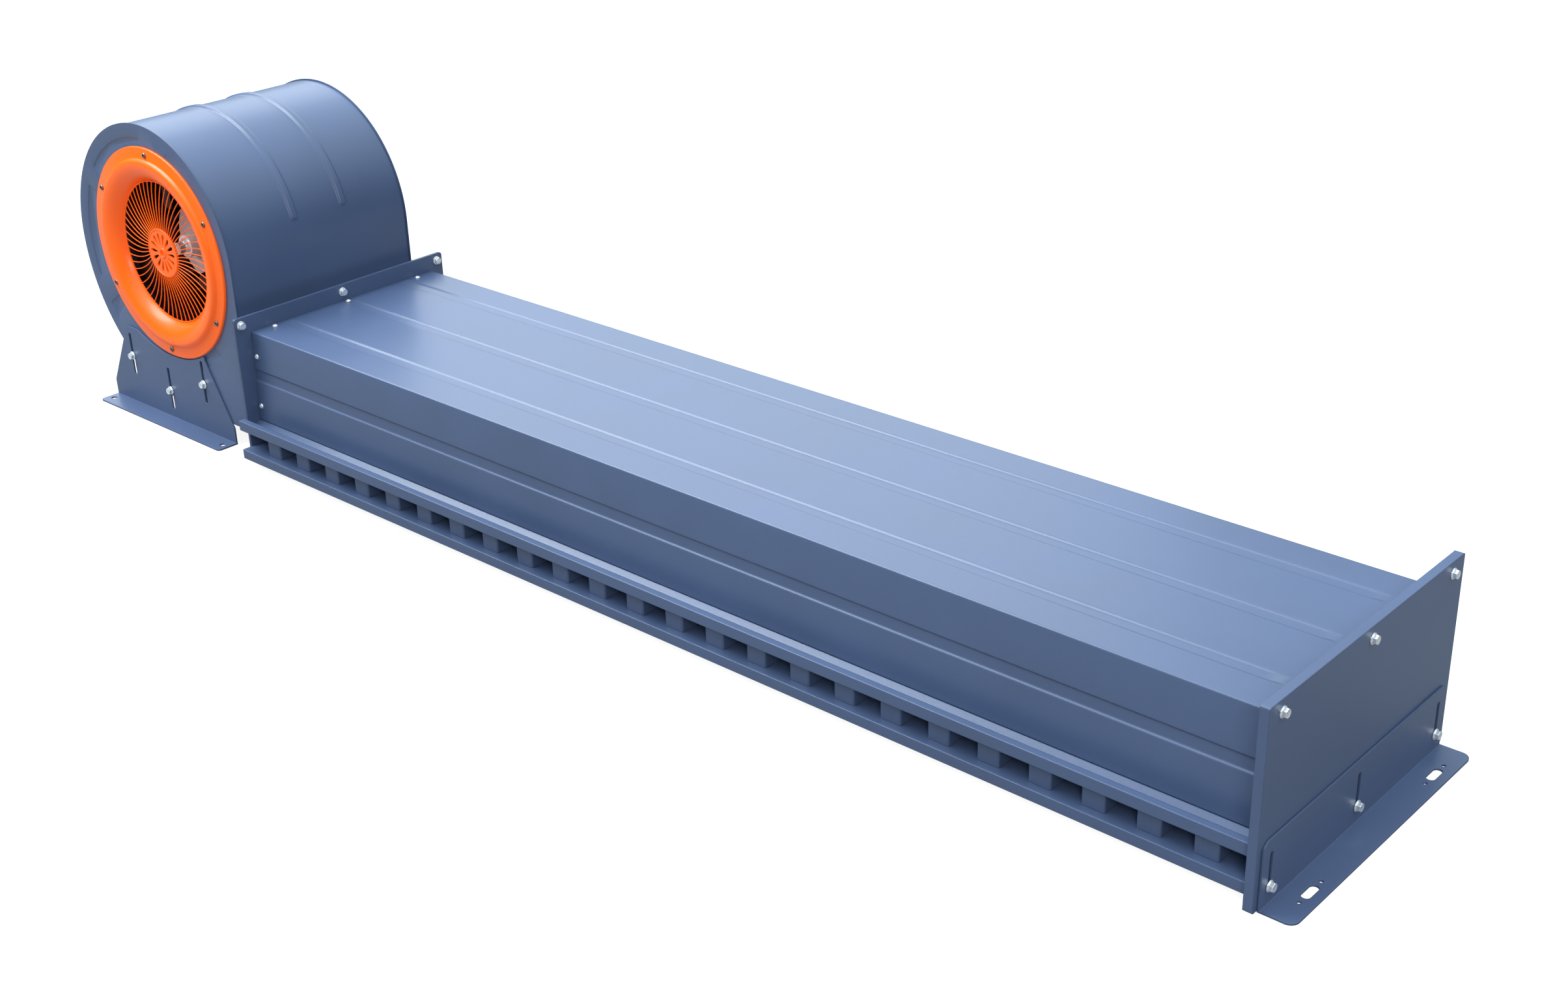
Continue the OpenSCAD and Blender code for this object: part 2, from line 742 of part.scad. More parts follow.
// Flat-bottomed groove pressed into the duct's top, grown by g and reaching up past the top
module top_groove(i, g, up) {
    half = groove_w / 2 + g;
    floor_half = half - groove_flank;
    x0 = duct_start + collar_l + groove_gap - g;
    translate([0, duct_shift + groove_shift + i * groove_pitch, duct_top])
        plate_yz(x0, duct_end - collar_l - groove_gap_far + g - x0) polygon([
            [-half, up], [-half, -g], [-floor_half, -groove_depth - g],
            [floor_half, -groove_depth - g], [half, -g], [half, up]
        ]);
}

module duct_floor() {
    m = duct_sheet / 2;
    color(slate) seat() plate_yz(duct_start, duct_end - duct_start) folded([
        [duct_back - duct_sheet - m, duct_base + floor_lap], [duct_back - duct_sheet - m, duct_base + m],
        [nozzle_front + slot_depth + m, duct_base + m]
    ], duct_sheet);
}

// Nozzle
module nozzle_lip() {
    m = duct_sheet / 2;
    top = slot_roof + lip_h;
    color(slate) seat() plate_yz(duct_start, duct_end - duct_start) folded([
        [panel_foot_y + m, panel_base - duct_sheet], [strip_y, slot_roof + m],
        [nozzle_front + m, slot_roof + m], [nozzle_front + m, top - m], [nozzle_front + lip_return, top - m]
    ], duct_sheet);
}

module nozzle_rail() {
    m = duct_sheet / 2;
    back = nozzle_front + slot_depth;
    color(slate) seat() plate_yz(duct_start, duct_end - duct_start) folded([
        [back, duct_base + duct_sheet], [back, slot_floor - m], [nozzle_front + m, slot_floor - m],
        [nozzle_front + m, duct_base + m], [nozzle_front + rail_return, duct_base + m]
    ], duct_sheet);
}

function block_x(i) = block_end + block_w / 2 + i * (duct_l - 2 * block_end - block_w) / (block_n - 1);

module nozzle_blocks() {
    y0 = nozzle_front + block_setback;
    color(slate) seat() for (i = [0:block_n - 1])
        translate([block_x(i), y0 + block_d / 2, slot_floor]) linear_extrude(slot_roof - slot_floor) difference() {
            round_rect([-block_w / 2, -block_d / 2], [block_w / 2, block_d / 2], block_corner);
            round_rect([-block_w / 2 + block_wall, -block_d / 2 + block_wall],
                [block_w / 2 - block_wall, block_d / 2 - block_wall], block_corner - block_wall);
        }
}

// Closed end
module end_holes(low_r) {
    for (i = [0:2]) {
        translate([end_bolt_y(i), end_bolt_low]) circle(low_r);
        translate([end_bolt_y(i), end_bolt_high]) circle(bolt_r + hole_clear);
    }
}

module duct_end_flange() {
    color(slate) seat() {
        plate_yz(duct_end, flange_t) difference() {
            translate([-end_flange_w / 2, duct_base]) square([end_flange_w, end_flange_top - duct_base]);
            intersection() {
                duct_section(duct_sheet + flange_t);
                translate([nozzle_front, slot_floor + bolt_flats]) square([end_plate_w, duct_top]);
            }
            end_holes(bolt_r);
        }
        collar(duct_end - collar_l);
    }
}

module end_plate() {
    half = end_plate_w / 2;
    color(slate) seat() difference() {
        plate_yz(end_face - end_rim, end_rim)
            round_rect([-half, end_plate_base], [half, end_plate_top], end_corner);
        plate_yz(end_face - end_rim - cut, end_rim + cut - end_sheet) round_rect(
            [-half + end_sheet, end_plate_base + end_sheet], [half - end_sheet, end_plate_top - end_sheet],
            end_corner - end_sheet);
        plate_yz(duct_l - cut, end_sheet + 2 * cut) end_holes(bolt_r + hole_clear);
    }
}

module end_plate_bolts() {
    color(zinc) seat() for (i = [0:2]) translate([end_face, end_bolt_y(i), end_bolt_high])
        rotate([0, 90, 0]) hex_bolt(end_sheet + flange_t + nut_h + washer_t);
}

module end_plate_nuts() {
    color(zinc) seat() for (i = [0:2])
        translate([duct_end, end_bolt_y(i), end_bolt_high]) rotate([0, -90, 0]) hex_nut();
}

module end_foot_bolts() {
    color(zinc) seat() for (i = [0:2])
        translate([end_face + 2 * foot_gap + foot_sheet, end_bolt_y(i), end_bolt_low]) rotate([0, 90, 0])
            hex_bolt(2 * foot_gap + foot_sheet + end_sheet + flange_t);
}

// Feet
// Bolts of a blower foot; the far one ends in the side plate's thread, since the scroll's wrap
// leaves no room for a nut there
module foot_bolts(y0, turn) {
    for (i = [-1:1]) translate([foot_x + i * foot_slot_pitch, y0, i == 0 ? foot_mid_bolt_z : foot_bolt_z])
        rotate([turn, 0, 0])
            hex_bolt(2 * foot_gap + foot_sheet + casing_sheet + (i < 0 ? 0 : nut_h + washer_t));
}

module foot_bolts_front() {
    color(zinc) seat() foot_bolts(casing_front - 2 * foot_gap - foot_sheet, 90);
}

module foot_bolts_rear() {
    color(zinc) seat() foot_bolts(casing_back + 2 * foot_gap + foot_sheet, -90);
}

module foot_nuts() {
    color(zinc) seat() for (i = [0, 1]) {
        z = i == 0 ? foot_mid_bolt_z : foot_bolt_z;
        translate([foot_x + i * foot_slot_pitch, casing_front + casing_sheet, z]) rotate([-90, 0, 0]) hex_nut();
        translate([foot_x + i * foot_slot_pitch, casing_back - casing_sheet, z]) rotate([90, 0, 0]) hex_nut();
    }
}

// Upright plate of a blower foot as (x, z) from its own middle
module foot_shape() {
    difference() {
        union() {
            polygon([
                [-foot_l / 2, 0], [foot_l / 2, 0], [foot_l / 2, foot_kink],
                [horn_half, foot_top - horn_r], [horn_half - horn_r, foot_top],
                [-horn_half + horn_r, foot_top], [-horn_half, foot_top - horn_r], [-foot_l / 2, foot_kink]
            ]);
            for (side = [-1, 1]) translate([side * (horn_half - horn_r), foot_top - horn_r]) circle(horn_r);
        }
        translate([foot_back, shaft_z]) circle(ring_r + horn_r / 4);
        translate([foot_back / 2, shaft_z + horn_r]) circle(hollow_r);
        for (i = [-1:1]) {
            mid = i == 0 ? foot_mid_slot_z : foot_slot_z;
            slot_up(i * foot_slot_pitch, mid - foot_slot_l / 2, mid + foot_slot_l / 2, slot_r);
        }
    }
}

// Blower foot with its plate's back face at y = 0 and its flange towards -Y
module blower_foot() {
    plate_xz(-foot_sheet, foot_sheet) foot_shape();
    translate([0, -foot_flange, 0]) linear_extrude(foot_sheet) difference() {
        union() {
            round_rect([-foot_l / 2, 0], [foot_l / 2, foot_flange / 2 + foot_corner / 2], foot_corner / 2);
            translate([-foot_l / 2, foot_corner]) square([foot_l, foot_flange - foot_corner]);
        }
        for (side = [-1, 1])
            translate([side * (foot_l / 2 - foot_hole_end), foot_flange - foot_hole_out]) circle(foot_hole_r);
    }
}

module blower_foot_front() {
    color(slate) seat() translate([foot_x, casing_front - foot_gap, 0]) blower_foot();
}

module blower_foot_rear() {
    color(slate) seat() translate([foot_x, casing_back + foot_gap, 0]) mirror([0, 1, 0]) blower_foot();
}

module end_foot() {
    half = end_foot_w / 2;
    x0 = end_face + foot_gap;
    color(slate) seat() {
        plate_yz(x0, foot_sheet) difference() {
            union() {
                round_rect([-half, foot_corner], [half, end_foot_h], foot_corner);
                translate([-half, 0]) square([end_foot_w, end_foot_h / 2]);
            }
            for (i = [0:2]) slot_up(end_bolt_y(i), end_slot_low, end_slot_high, slot_r);
        }
        translate([x0, 0, 0]) linear_extrude(foot_sheet) difference() {
            union() {
                round_rect([foot_corner, -half], [end_foot_flange, half], foot_corner);
                translate([0, -half]) square([end_foot_flange / 2, end_foot_w]);
            }
            for (side = [-1, 1]) translate([anchor_out, side * anchor_pitch / 2]) {
                translate([-anchor_w / 2, -anchor_l / 2 + anchor_w / 2]) square([anchor_w, anchor_l - anchor_w]);
                for (end = [-1, 1]) {
                    translate([0, end * (anchor_l - anchor_w) / 2]) circle(anchor_w / 2);
                    translate([0, end * pilot_out]) circle(pilot_r);
                }
            }
        }
    }
}

// Inlets, drawn along +Z with z = 0 on the side plate's outer face
module bell_section(inset) {
    translate([ring_crest_r, bell_z]) intersection() {
        circle(bell_r - inset);
        translate([-bell_r, rim_in_z - bell_z]) square([bell_r, bell_r]);
    }
    translate([ring_crest_r, ring_crest_h - ring_lip_r]) intersection() {
        circle(ring_lip_r - inset);
        square(ring_lip_r);
    }
    translate([ring_crest_r, 0]) square([ring_lip_r - inset, ring_crest_h - ring_lip_r]);
}

module inlet_ring() {
    difference() {
        union() {
            rotate_extrude() difference() {
                union() {
                    bell_section(0);
                    translate([ring_crest_r + ring_lip_r / 2, 0])
                        square([ring_r - ring_crest_r - ring_lip_r / 2, ring_flange_t]);
                }
                bell_section(ring_wall);
                translate([ring_crest_r - ring_lip_r, -bell_r]) square([2 * ring_lip_r - ring_wall, bell_r]);
            }
        }
        translate([0, 0, -cut]) linear_extrude(ring_flange_t + 2 * cut) ring_screw_holes(screw_r + hole_clear);
    }
}

// A bowed spoke from the hub to the rim, leaning back towards the rim
module spoke() {
    half = asin((spoke_run + spoke_t) / spoke_curve / 2);
    translate([(throat_r + guard_hub_r) / 2, 0, (hub_z - guard_rim_depth) / 2]) rotate([0, guard_tilt, 0])
        translate([0, -spoke_curve * cos(half), 0]) rotate(90 - half) rotate_extrude(angle = 2 * half)
            translate([spoke_curve - spoke_t / 2, -spoke_depth]) square([spoke_t, spoke_depth]);
}

module inlet_guard() {
    for (i = [0:spoke_n - 1]) rotate(i * 360 / spoke_n) spoke();
    translate([0, 0, hub_z - guard_hub_t]) linear_extrude(guard_hub_t) difference() {
        circle(guard_hub_r);
        for (i = [0:petal_n - 1]) rotate(i * 360 / petal_n) polygon([
            [petal_in_share * guard_hub_r, 0],
            [petal_out_share * guard_hub_r, -petal_tip_share * guard_hub_r],
            [petal_out_share * guard_hub_r + petal_tip_share * guard_hub_r, 0],
            [petal_out_share * guard_hub_r, petal_tip_share * guard_hub_r]
        ]);
    }
    translate([0, 0, hub_z - guard_hub_t]) difference() {
        cylinder(h = guard_hub_t * 1.5, r = guard_boss_share * guard_hub_r);
        translate([0, 0, guard_hub_t / 2]) cylinder(h = guard_hub_t * 2, r = guard_boss_share * guard_hub_r / 2);
    }
    rotate_extrude() translate([guard_hub_r - guard_rim_t, hub_z - guard_hub_t])
        square([guard_rim_t, guard_hub_t * 1.25]);
    rotate_extrude() translate([rim_r - spoke_t, rim_in_z]) square([spoke_t, guard_rim_t]);
}

// Turns a piece drawn along +Z so that it looks out of the front or the rear side plate
module at_front() translate([shaft_x, casing_front, shaft_z]) rotate([90, 0, 0]) children();
module at_rear() translate([shaft_x, casing_back, shaft_z]) rotate([-90, 0, 0]) children();

module inlet_ring_front() {
    color(orange) seat() at_front() inlet_ring();
}

module inlet_ring_rear() {
    color(orange) seat() at_rear() inlet_ring();
}

module inlet_guard_front() {
    color(orange) seat() at_front() inlet_guard();
}

module inlet_guard_rear() {
    color(orange) seat() at_rear() inlet_guard();
}

module ring_screws() {
    for (i = [0:ring_screw_n - 1]) rotate(ring_turn + i * 360 / ring_screw_n)
        translate([ring_screw_circle, 0, ring_flange_t]) round_screw(ring_flange_t + casing_sheet);
}

module ring_screws_front() {
    color(dark_steel) seat() at_front() ring_screws();
}

module ring_screws_rear() {
    color(dark_steel) seat() at_rear() ring_screws();
}

// Motor, on the shaft's axis
module on_axis(y0) translate([shaft_x, y0, shaft_z]) rotate([-90, 0, 0]) children();

module motor_can() {
    l = motor_l - 2 * shield_t;
    color(black) seat() on_axis(motor_front + shield_t) difference() {
        cylinder(h = l, r = can_r);
        translate([0, 0, -cut]) cylinder(h = l + 2 * cut, r = can_r - can_wall);
    }
}

// End shield with a raised face and a bearing boss towards -Z
module motor_shield(l) {
    difference() {
        union() {
            cylinder(h = shield_t, r = can_r);
            translate([0, 0, -shield_face_t]) cylinder(h = shield_face_t, r = shield_face_r);
            translate([0, 0, -l]) cylinder(h = l, r = boss_r);
        }
        translate([0, 0, -l - cut]) cylinder(h = l + shield_t + 2 * cut, r = boss_r * bearing_out_share);
        for (i = [0:vent_n - 1]) rotate(i * 360 / vent_n) translate([vent_share * shield_face_r, 0, -shield_face_t - cut])
            cylinder(h = shield_t + shield_face_t + 2 * cut, r = vent_r_share * can_r);
    }
}

module motor_shield_front() {
    color(cast) seat() on_axis(motor_front) motor_shield(boss_l);
}

module motor_shield_rear() {
    color(cast) seat() on_axis(motor_back) mirror([0, 0, 1]) motor_shield(shield_face_t);
}

module motor_bearings() {
    color(zinc) seat() for (y = [boss_tip + arm_t, motor_back - shield_t]) on_axis(y) difference() {
        cylinder(h = shield_t, r = boss_r * bearing_out_share);
        translate([0, 0, -cut]) cylinder(h = shield_t + 2 * cut, r = shaft_r + bearing_clear);
    }
}

module motor_bracket() {
    color(dark_steel) seat() {
        on_axis(motor_front + shield_t) difference() {
            cylinder(h = clamp_w, r = can_r + arm_t);
            translate([0, 0, -cut]) cylinder(h = clamp_w + 2 * cut, r = can_r);
        }
        for (i = [1:arm_n]) translate([shaft_x, 0, shaft_z]) rotate([0, -90 - i * arm_angle, 0]) {
            translate([can_r, arm_y, -arm_w / 2]) cube([arm_t, motor_front + shield_t + clamp_w - arm_y, arm_w]);
            translate([can_r, arm_y - arm_t / 2, -arm_w / 2]) cube([bracket_foot_r - can_r, arm_t, arm_w]);
            translate([bracket_foot_r - arm_t, casing_front + casing_sheet, -arm_w / 2])
                cube([arm_t, arm_y + arm_t / 2 - casing_front - casing_sheet, arm_w]);
        }
    }
}

module motor_bracket_bolts() {
    color(zinc) seat() for (i = [1:arm_n]) translate([shaft_x, 0, shaft_z]) rotate([0, -90 - i * arm_angle, 0])
        translate([can_r + arm_t, motor_front + shield_t + clamp_w / 2, 0]) rotate([0, 90, 0])
            cylinder(h = screw_head_h, r = screw_head_r);
}

// Fan wheel, on the shaft's axis
module wheel_centre_plate() {
    color(zinc) seat() on_axis(wheel_mid - wheel_sheet / 2) difference() {
        cylinder(h = wheel_sheet, r = wheel_r);
        translate([0, 0, -cut]) cylinder(h = wheel_sheet + 2 * cut, r = shaft_r + hole_clear);
    }
}

// One blade as a cupped strip, leaning into the turn; k runs from its root to its tip
function blade_at(k, off) =
    let (r = blade_in_r + (wheel_r - blade_in_r) * k, a = blade_lean * pow(k, 2) - blade_lean * k)
    [r, off + r * sin(a * blade_cup_share)];
module blade_shape() {
    polygon(concat(
        [for (i = [0:blade_steps]) blade_at(i / blade_steps, 0)],
        [for (i = [blade_steps:-1:0]) blade_at(i / blade_steps, blade_t)]
    ));
}

module wheel_blades() {
    l = wheel_w / 2 - 1.5 * wheel_sheet;
    color(zinc) seat() for (side = [-1, 1])
        on_axis(wheel_mid + side * (l / 2 + wheel_sheet / 2) - l / 2) linear_extrude(l)
            for (i = [0:blade_n - 1]) rotate(i * 360 / blade_n) blade_shape();
}

module wheel_end_rings() {
    color(zinc) seat() for (y = [wheel_front, wheel_mid + wheel_w / 2 - wheel_sheet]) on_axis(y) difference() {
        cylinder(h = wheel_sheet, r = wheel_r);
        translate([0, 0, -cut]) cylinder(h = wheel_sheet + 2 * cut, r = blade_in_r);
    }
}

module wheel_hub() {
    color(cast) seat() on_axis(wheel_mid + wheel_sheet / 2) difference() {
        union() {
            cylinder(h = shield_face_t, r = hub_r * 1.5);
            cylinder(h = hub_l, r = hub_r);
        }
        translate([0, 0, -cut]) cylinder(h = hub_l + 2 * cut, r = shaft_r);
    }
}

module hub_screws() {
    color(dark_steel) seat() for (i = [1:hub_screw_n]) translate([shaft_x, wheel_mid - wheel_sheet / 2, shaft_z])
        rotate([90, 0, 0]) rotate((i - 1 / 2) * 360 / hub_screw_n) translate([hub_r * 1.25, 0, 0]) cylinder(h = screw_head_h, r = screw_head_r);
}

module motor_shaft() {
    color(zinc) seat() on_axis(shaft_tip) cylinder(h = shaft_tail - shaft_tip, r = shaft_r);
}

module shaft_nut() {
    color(zinc) seat() on_axis(wheel_mid + wheel_sheet / 2 + hub_l) difference() {
        cylinder(h = nut_h, r = shaft_r * 1.6, $fn = 6);
        translate([0, 0, -cut]) cylinder(h = nut_h + 2 * cut, r = shaft_r);
    }
}

scroll_wrap();
scroll_side_front();
scroll_side_rear();
scroll_cutoff();
outlet_flange();
duct_flange();
joint_bolts();
joint_nuts();
duct_screws();
duct_cover();
duct_floor();
nozzle_lip();
nozzle_rail();
nozzle_blocks();
duct_end_flange();
end_plate();
end_plate_bolts();
end_plate_nuts();
end_foot_bolts();
foot_bolts_front();
foot_bolts_rear();
foot_nuts();
inlet_ring_front();
inlet_ring_rear();
inlet_guard_front();
inlet_guard_rear();
ring_screws_front();
ring_screws_rear();
motor_can();
motor_shield_front();
motor_shield_rear();
motor_bearings();
motor_bracket();
motor_bracket_bolts();
wheel_centre_plate();
wheel_blades();
wheel_end_rings();
wheel_hub();
hub_screws();
motor_shaft();
shaft_nut();
blower_foot_front();
blower_foot_rear();
end_foot();
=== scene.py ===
import bpy
import bmesh
import math
from math import cos, sin, pi, radians, sqrt
from mathutils import Matrix, Vector
from mathutils.geometry import delaunay_2d_cdt


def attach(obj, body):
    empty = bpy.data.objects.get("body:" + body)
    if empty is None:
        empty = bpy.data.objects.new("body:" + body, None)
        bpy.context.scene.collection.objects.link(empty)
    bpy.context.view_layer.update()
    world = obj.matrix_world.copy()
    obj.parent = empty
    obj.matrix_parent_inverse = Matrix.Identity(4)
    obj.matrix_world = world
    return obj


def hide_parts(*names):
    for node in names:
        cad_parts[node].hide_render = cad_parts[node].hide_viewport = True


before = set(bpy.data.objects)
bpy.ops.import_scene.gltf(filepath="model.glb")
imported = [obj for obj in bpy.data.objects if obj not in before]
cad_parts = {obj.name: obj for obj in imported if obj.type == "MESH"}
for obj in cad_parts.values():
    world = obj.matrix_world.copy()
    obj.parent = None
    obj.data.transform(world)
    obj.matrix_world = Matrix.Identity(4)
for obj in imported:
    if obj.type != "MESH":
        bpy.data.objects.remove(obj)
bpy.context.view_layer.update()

# Camera at the photograph's viewing angle. Its place, turn and lens were fitted to the straight
# edges of the duct, the flanges and the end plate. Sizes in this file are millimetres from the
# joint between blower and duct, and at() takes them to metres in the row frame.
joint_to_row = -682.65


def at(x, y, z):
    return Vector(((x + joint_to_row) / 1000, y / 1000, z / 1000))


view_right = Vector((0.7489, 0.6623, -0.0234)).normalized()
view_ahead = Vector((-0.6056, 0.6696, -0.4300))
view_ahead = (view_ahead - view_right * view_ahead.dot(view_right)).normalized()
view_up = view_right.cross(view_ahead)
view_turn = Matrix((view_right, view_up, -view_ahead)).transposed().to_4x4()
camera = bpy.data.objects.new("camera", bpy.data.cameras.new("camera"))
camera.matrix_world = Matrix.Translation(at(2567, -1802.6, 1307)) @ view_turn
camera.data.sensor_width = 36
camera.data.lens = 47.38
camera.data.clip_end = 40
bpy.context.scene.collection.objects.link(camera)
bpy.context.scene.camera = camera

# Floor, a pale sheet of studio paper that runs out of view. It is white to the eye, and as a
# source of light it is dim, so that the undersides of the duct and the nozzle stay dark.
floor_half = 9
floor_mesh = bpy.data.meshes.new("floor")
floor_mesh.from_pydata([(-floor_half, -floor_half, 0), (floor_half, -floor_half, 0),
                        (floor_half, floor_half, 0), (-floor_half, floor_half, 0)],
                       [], [(0, 1, 2, 3)])
floor = bpy.data.objects.new("floor", floor_mesh)
bpy.context.scene.collection.objects.link(floor)
floor_paper = bpy.data.materials.new("floor_paint")
floor_paper.use_nodes = True
nodes, link = floor_paper.node_tree.nodes, floor_paper.node_tree.links.new
paper = nodes["Principled BSDF"]
paper.inputs["Base Color"].default_value = (0.2, 0.2, 0.2, 1)
paper.inputs["Roughness"].default_value = 0.95
paper_glow = nodes.new("ShaderNodeEmission")
paper_glow.inputs["Strength"].default_value = 0.9
seen_paper = nodes.new("ShaderNodeAddShader")
link(paper.outputs[0], seen_paper.inputs[0])
link(paper_glow.outputs[0], seen_paper.inputs[1])
floor_rays, floor_choice = nodes.new("ShaderNodeLightPath"), nodes.new("ShaderNodeMixShader")
link(floor_rays.outputs["Is Camera Ray"], floor_choice.inputs[0])
link(paper.outputs[0], floor_choice.inputs[1])
link(seen_paper.outputs[0], floor_choice.inputs[2])
link(floor_choice.outputs[0], nodes["Material Output"].inputs["Surface"])
floor.data.materials.append(floor_paper)

# Soft studio light: a surround that is bright overhead and dark at the horizon, a panel beyond
# the blower whose sheen runs down the duct, a main panel over the blower, and a small lamp that
# lifts the front and the end plate. The eye sees the surround as plain white.
world = bpy.data.worlds.new("world")
world.use_nodes = True
nodes, link = world.node_tree.nodes, world.node_tree.links.new
sky_way, sky_split = nodes.new("ShaderNodeTexCoord"), nodes.new("ShaderNodeSeparateXYZ")
sky_ramp = nodes.new("ShaderNodeMapRange")
sky_ramp.interpolation_type = "SMOOTHSTEP"
sky_ramp.inputs["From Min"].default_value, sky_ramp.inputs["From Max"].default_value = 0.05, 0.95
sky_ramp.inputs["To Min"].default_value, sky_ramp.inputs["To Max"].default_value = 0.015, 1.9
sky = nodes["Background"]
sky.inputs["Color"].default_value = (0.78, 0.91, 1, 1)
link(sky_way.outputs["Generated"], sky_split.inputs[0])
link(sky_split.outputs["Z"], sky_ramp.inputs["Value"])
link(sky_ramp.outputs["Result"], sky.inputs["Strength"])
white_sky = nodes.new("ShaderNodeBackground")
white_sky.inputs["Color"].default_value = (1, 1, 1, 1)
sky_rays, sky_choice = nodes.new("ShaderNodeLightPath"), nodes.new("ShaderNodeMixShader")
link(sky_rays.outputs["Is Camera Ray"], sky_choice.inputs[0])
link(sky.outputs[0], sky_choice.inputs[1])
link(white_sky.outputs[0], sky_choice.inputs[2])
link(sky_choice.outputs[0], nodes["World Output"].inputs["Surface"])
bpy.context.scene.world = world
bpy.context.scene.view_settings.view_transform = "Standard"
lamp_aim = Vector((0, 0, 0.2))
for name, place, size, watts, colour in [
    ("light_back", (-3.2, 2.6, 2.2), (4.6, 2.4), 62, (0.86, 0.95, 1)),
    ("light_key", (-2.5, -1.1, 3.6), (3.4, 2.6), 248, (0.9, 0.97, 1)),
    ("light_edge", (2.5, -2.1, 1.7), (0.7, 0.7), 31, (1, 0.97, 0.92)),
]:
    lamp = bpy.data.objects.new(name, bpy.data.lights.new(name, "AREA"))
    lamp.data.shape = "RECTANGLE"
    lamp.data.size, lamp.data.size_y = size
    lamp.data.energy = watts
    lamp.data.color = colour
    lamp.location = place
    lamp.rotation_euler = (lamp_aim - Vector(place)).to_track_quat("-Z", "Y").to_euler()
    bpy.context.scene.collection.objects.link(lamp)

# Scroll casing's wrap: one powder-coated steel sheet bent round the scroll and on over the mouth,
# welded between the side plates. Two beads are pressed out across the crest, for stiffness, and
# run out with rounded ends. Lines are (x, z) from the fan's shaft, at a height g off the wrap.
shaft_x, shaft_z = -215, 287
wrap_front, wrap_rear, wrap_sheet = -160.5, 174.5, 1.5
mouth_x, mouth_floor, mouth_roof, back_x = 213, -251, -81, 185.5
crest_x, crest_r, far_z, far_r = -10.8, 196.3, -9.7, 211.2
scroll_arcs = [(19.3, far_z, 241.3, 270, 180), (crest_x, far_z, far_r, 180, 90),
               (crest_x, 5.2, crest_r, 90, 0)]
bead_middles, bead_height, bead_reach, bead_flank = (-30.5, 62.5), 3, 7.4, 3.6
bead_first, bead_last, bead_run_out = 16, 160, 6


def scroll_line(g):
    line = [(x, mouth_floor - g) for x in (mouth_x, 150, 90)]
    for centre_x, centre_z, r, first, last in scroll_arcs:
        for k in range(first - last + 1):
            a = radians(first - k)
            point = (centre_x + (r + g) * cos(a), centre_z + (r + g) * sin(a))
            if math.dist(point, line[-1]) > 0.2:
                line.append(point)
    return line + [(back_x + g, -40 + g), (back_x + g, mouth_roof + g), (mouth_x, mouth_roof + g)]


# How far a pressed flank has risen, from 0 at its foot to 1 at its crest
def pressed(u):
    return u * u * (3 - 2 * u)


# The skin between one closed loop of points and the next
def skin(bm, low, high):
    for k in range(len(low)):
        after = (k + 1) % len(low)
        bm.faces.new((low[k], low[after], high[after], high[k]))


# A folded sheet: its section, out along one face and back along the other, from end to end
def folded_sheet(bm, sections):
    for low, high in zip(sections, sections[1:]):
        skin(bm, low, high)
    for section in (sections[0], sections[-1]):
        for k in range(len(section) // 2 - 1):
            bm.faces.new((section[k], section[k + 1], section[-k - 2], section[-k - 1]))


# The finished piece, named after the node it stands for. Edges sharper than crease, in degrees,
# stay crisp, and the flat faces of a plate are left flat.
def finished_piece(bm, node, finish, crease, flat_plate=False):
    bmesh.ops.recalc_face_normals(bm, faces=bm.faces)
    mesh = bpy.data.meshes.new(node + "_detail")
    bm.to_mesh(mesh)
    bm.free()
    piece = bpy.data.objects.new(node + "_detail", mesh)
    bpy.context.scene.collection.objects.link(piece)
    mesh.materials.append(finish)
    for face in mesh.polygons:
        face.use_smooth = not flat_plate or abs(face.normal.y) < 0.9999
    mesh.set_sharp_from_angle(angle=radians(crease))
    return piece


# The fine grain of a coated, cast, moulded or plated surface: small bumps, a slow drift in
# colour and gloss from place to place, and edges rounded by a radius in metres
fine_grain = bpy.data.node_groups.new("fine_grain", "ShaderNodeTree")
for label, kind, value in [
    ("Color", "NodeSocketColor", (0.1, 0.15, 0.25, 1)), ("Scale", "NodeSocketFloat", 900.0),
    ("Height", "NodeSocketFloat", 0.15), ("Drift", "NodeSocketFloat", 0.08),
    ("Roughness", "NodeSocketFloat", 0.35), ("Edge", "NodeSocketFloat", 0.001),
]:
    socket = fine_grain.interface.new_socket(label, in_out="INPUT", socket_type=kind)
    socket.default_value = value
for label, kind in [("Color", "NodeSocketColor"), ("Roughness", "NodeSocketFloat"),
                    ("Normal", "NodeSocketVector")]:
    fine_grain.interface.new_socket(label, in_out="OUTPUT", socket_type=kind)
nodes, link = fine_grain.nodes, fine_grain.links.new
wanted, made = nodes.new("NodeGroupInput"), nodes.new("NodeGroupOutput")
surface = nodes.new("ShaderNodeTexCoord")
rounded_edge = nodes.new("ShaderNodeBevel")
rounded_edge.samples = 6
link(wanted.outputs["Edge"], rounded_edge.inputs["Radius"])
grain = nodes.new("ShaderNodeTexNoise")
grain.inputs["Detail"].default_value = 3
link(surface.outputs["Object"], grain.inputs["Vector"])
link(wanted.outputs["Scale"], grain.inputs["Scale"])
grain_bump = nodes.new("ShaderNodeBump")
grain_bump.inputs["Distance"].default_value = 0.0006
link(rounded_edge.outputs["Normal"], grain_bump.inputs["Normal"])
link(grain.outputs["Fac"], grain_bump.inputs["Height"])
link(wanted.outputs["Height"], grain_bump.inputs["Strength"])
patches = nodes.new("ShaderNodeTexNoise")
patches.inputs["Scale"].default_value = 5
patches.inputs["Detail"].default_value = 4
link(surface.outputs["Object"], patches.inputs["Vector"])
patch_spread = nodes.new("ShaderNodeMapRange")
patch_spread.inputs["From Min"].default_value = 0.3
patch_spread.inputs["From Max"].default_value = 0.7
patch_spread.inputs["To Min"].default_value = -1
patch_spread.inputs["To Max"].default_value = 1
link(patches.outputs["Fac"], patch_spread.inputs["Value"])
drift = nodes.new("ShaderNodeMath")
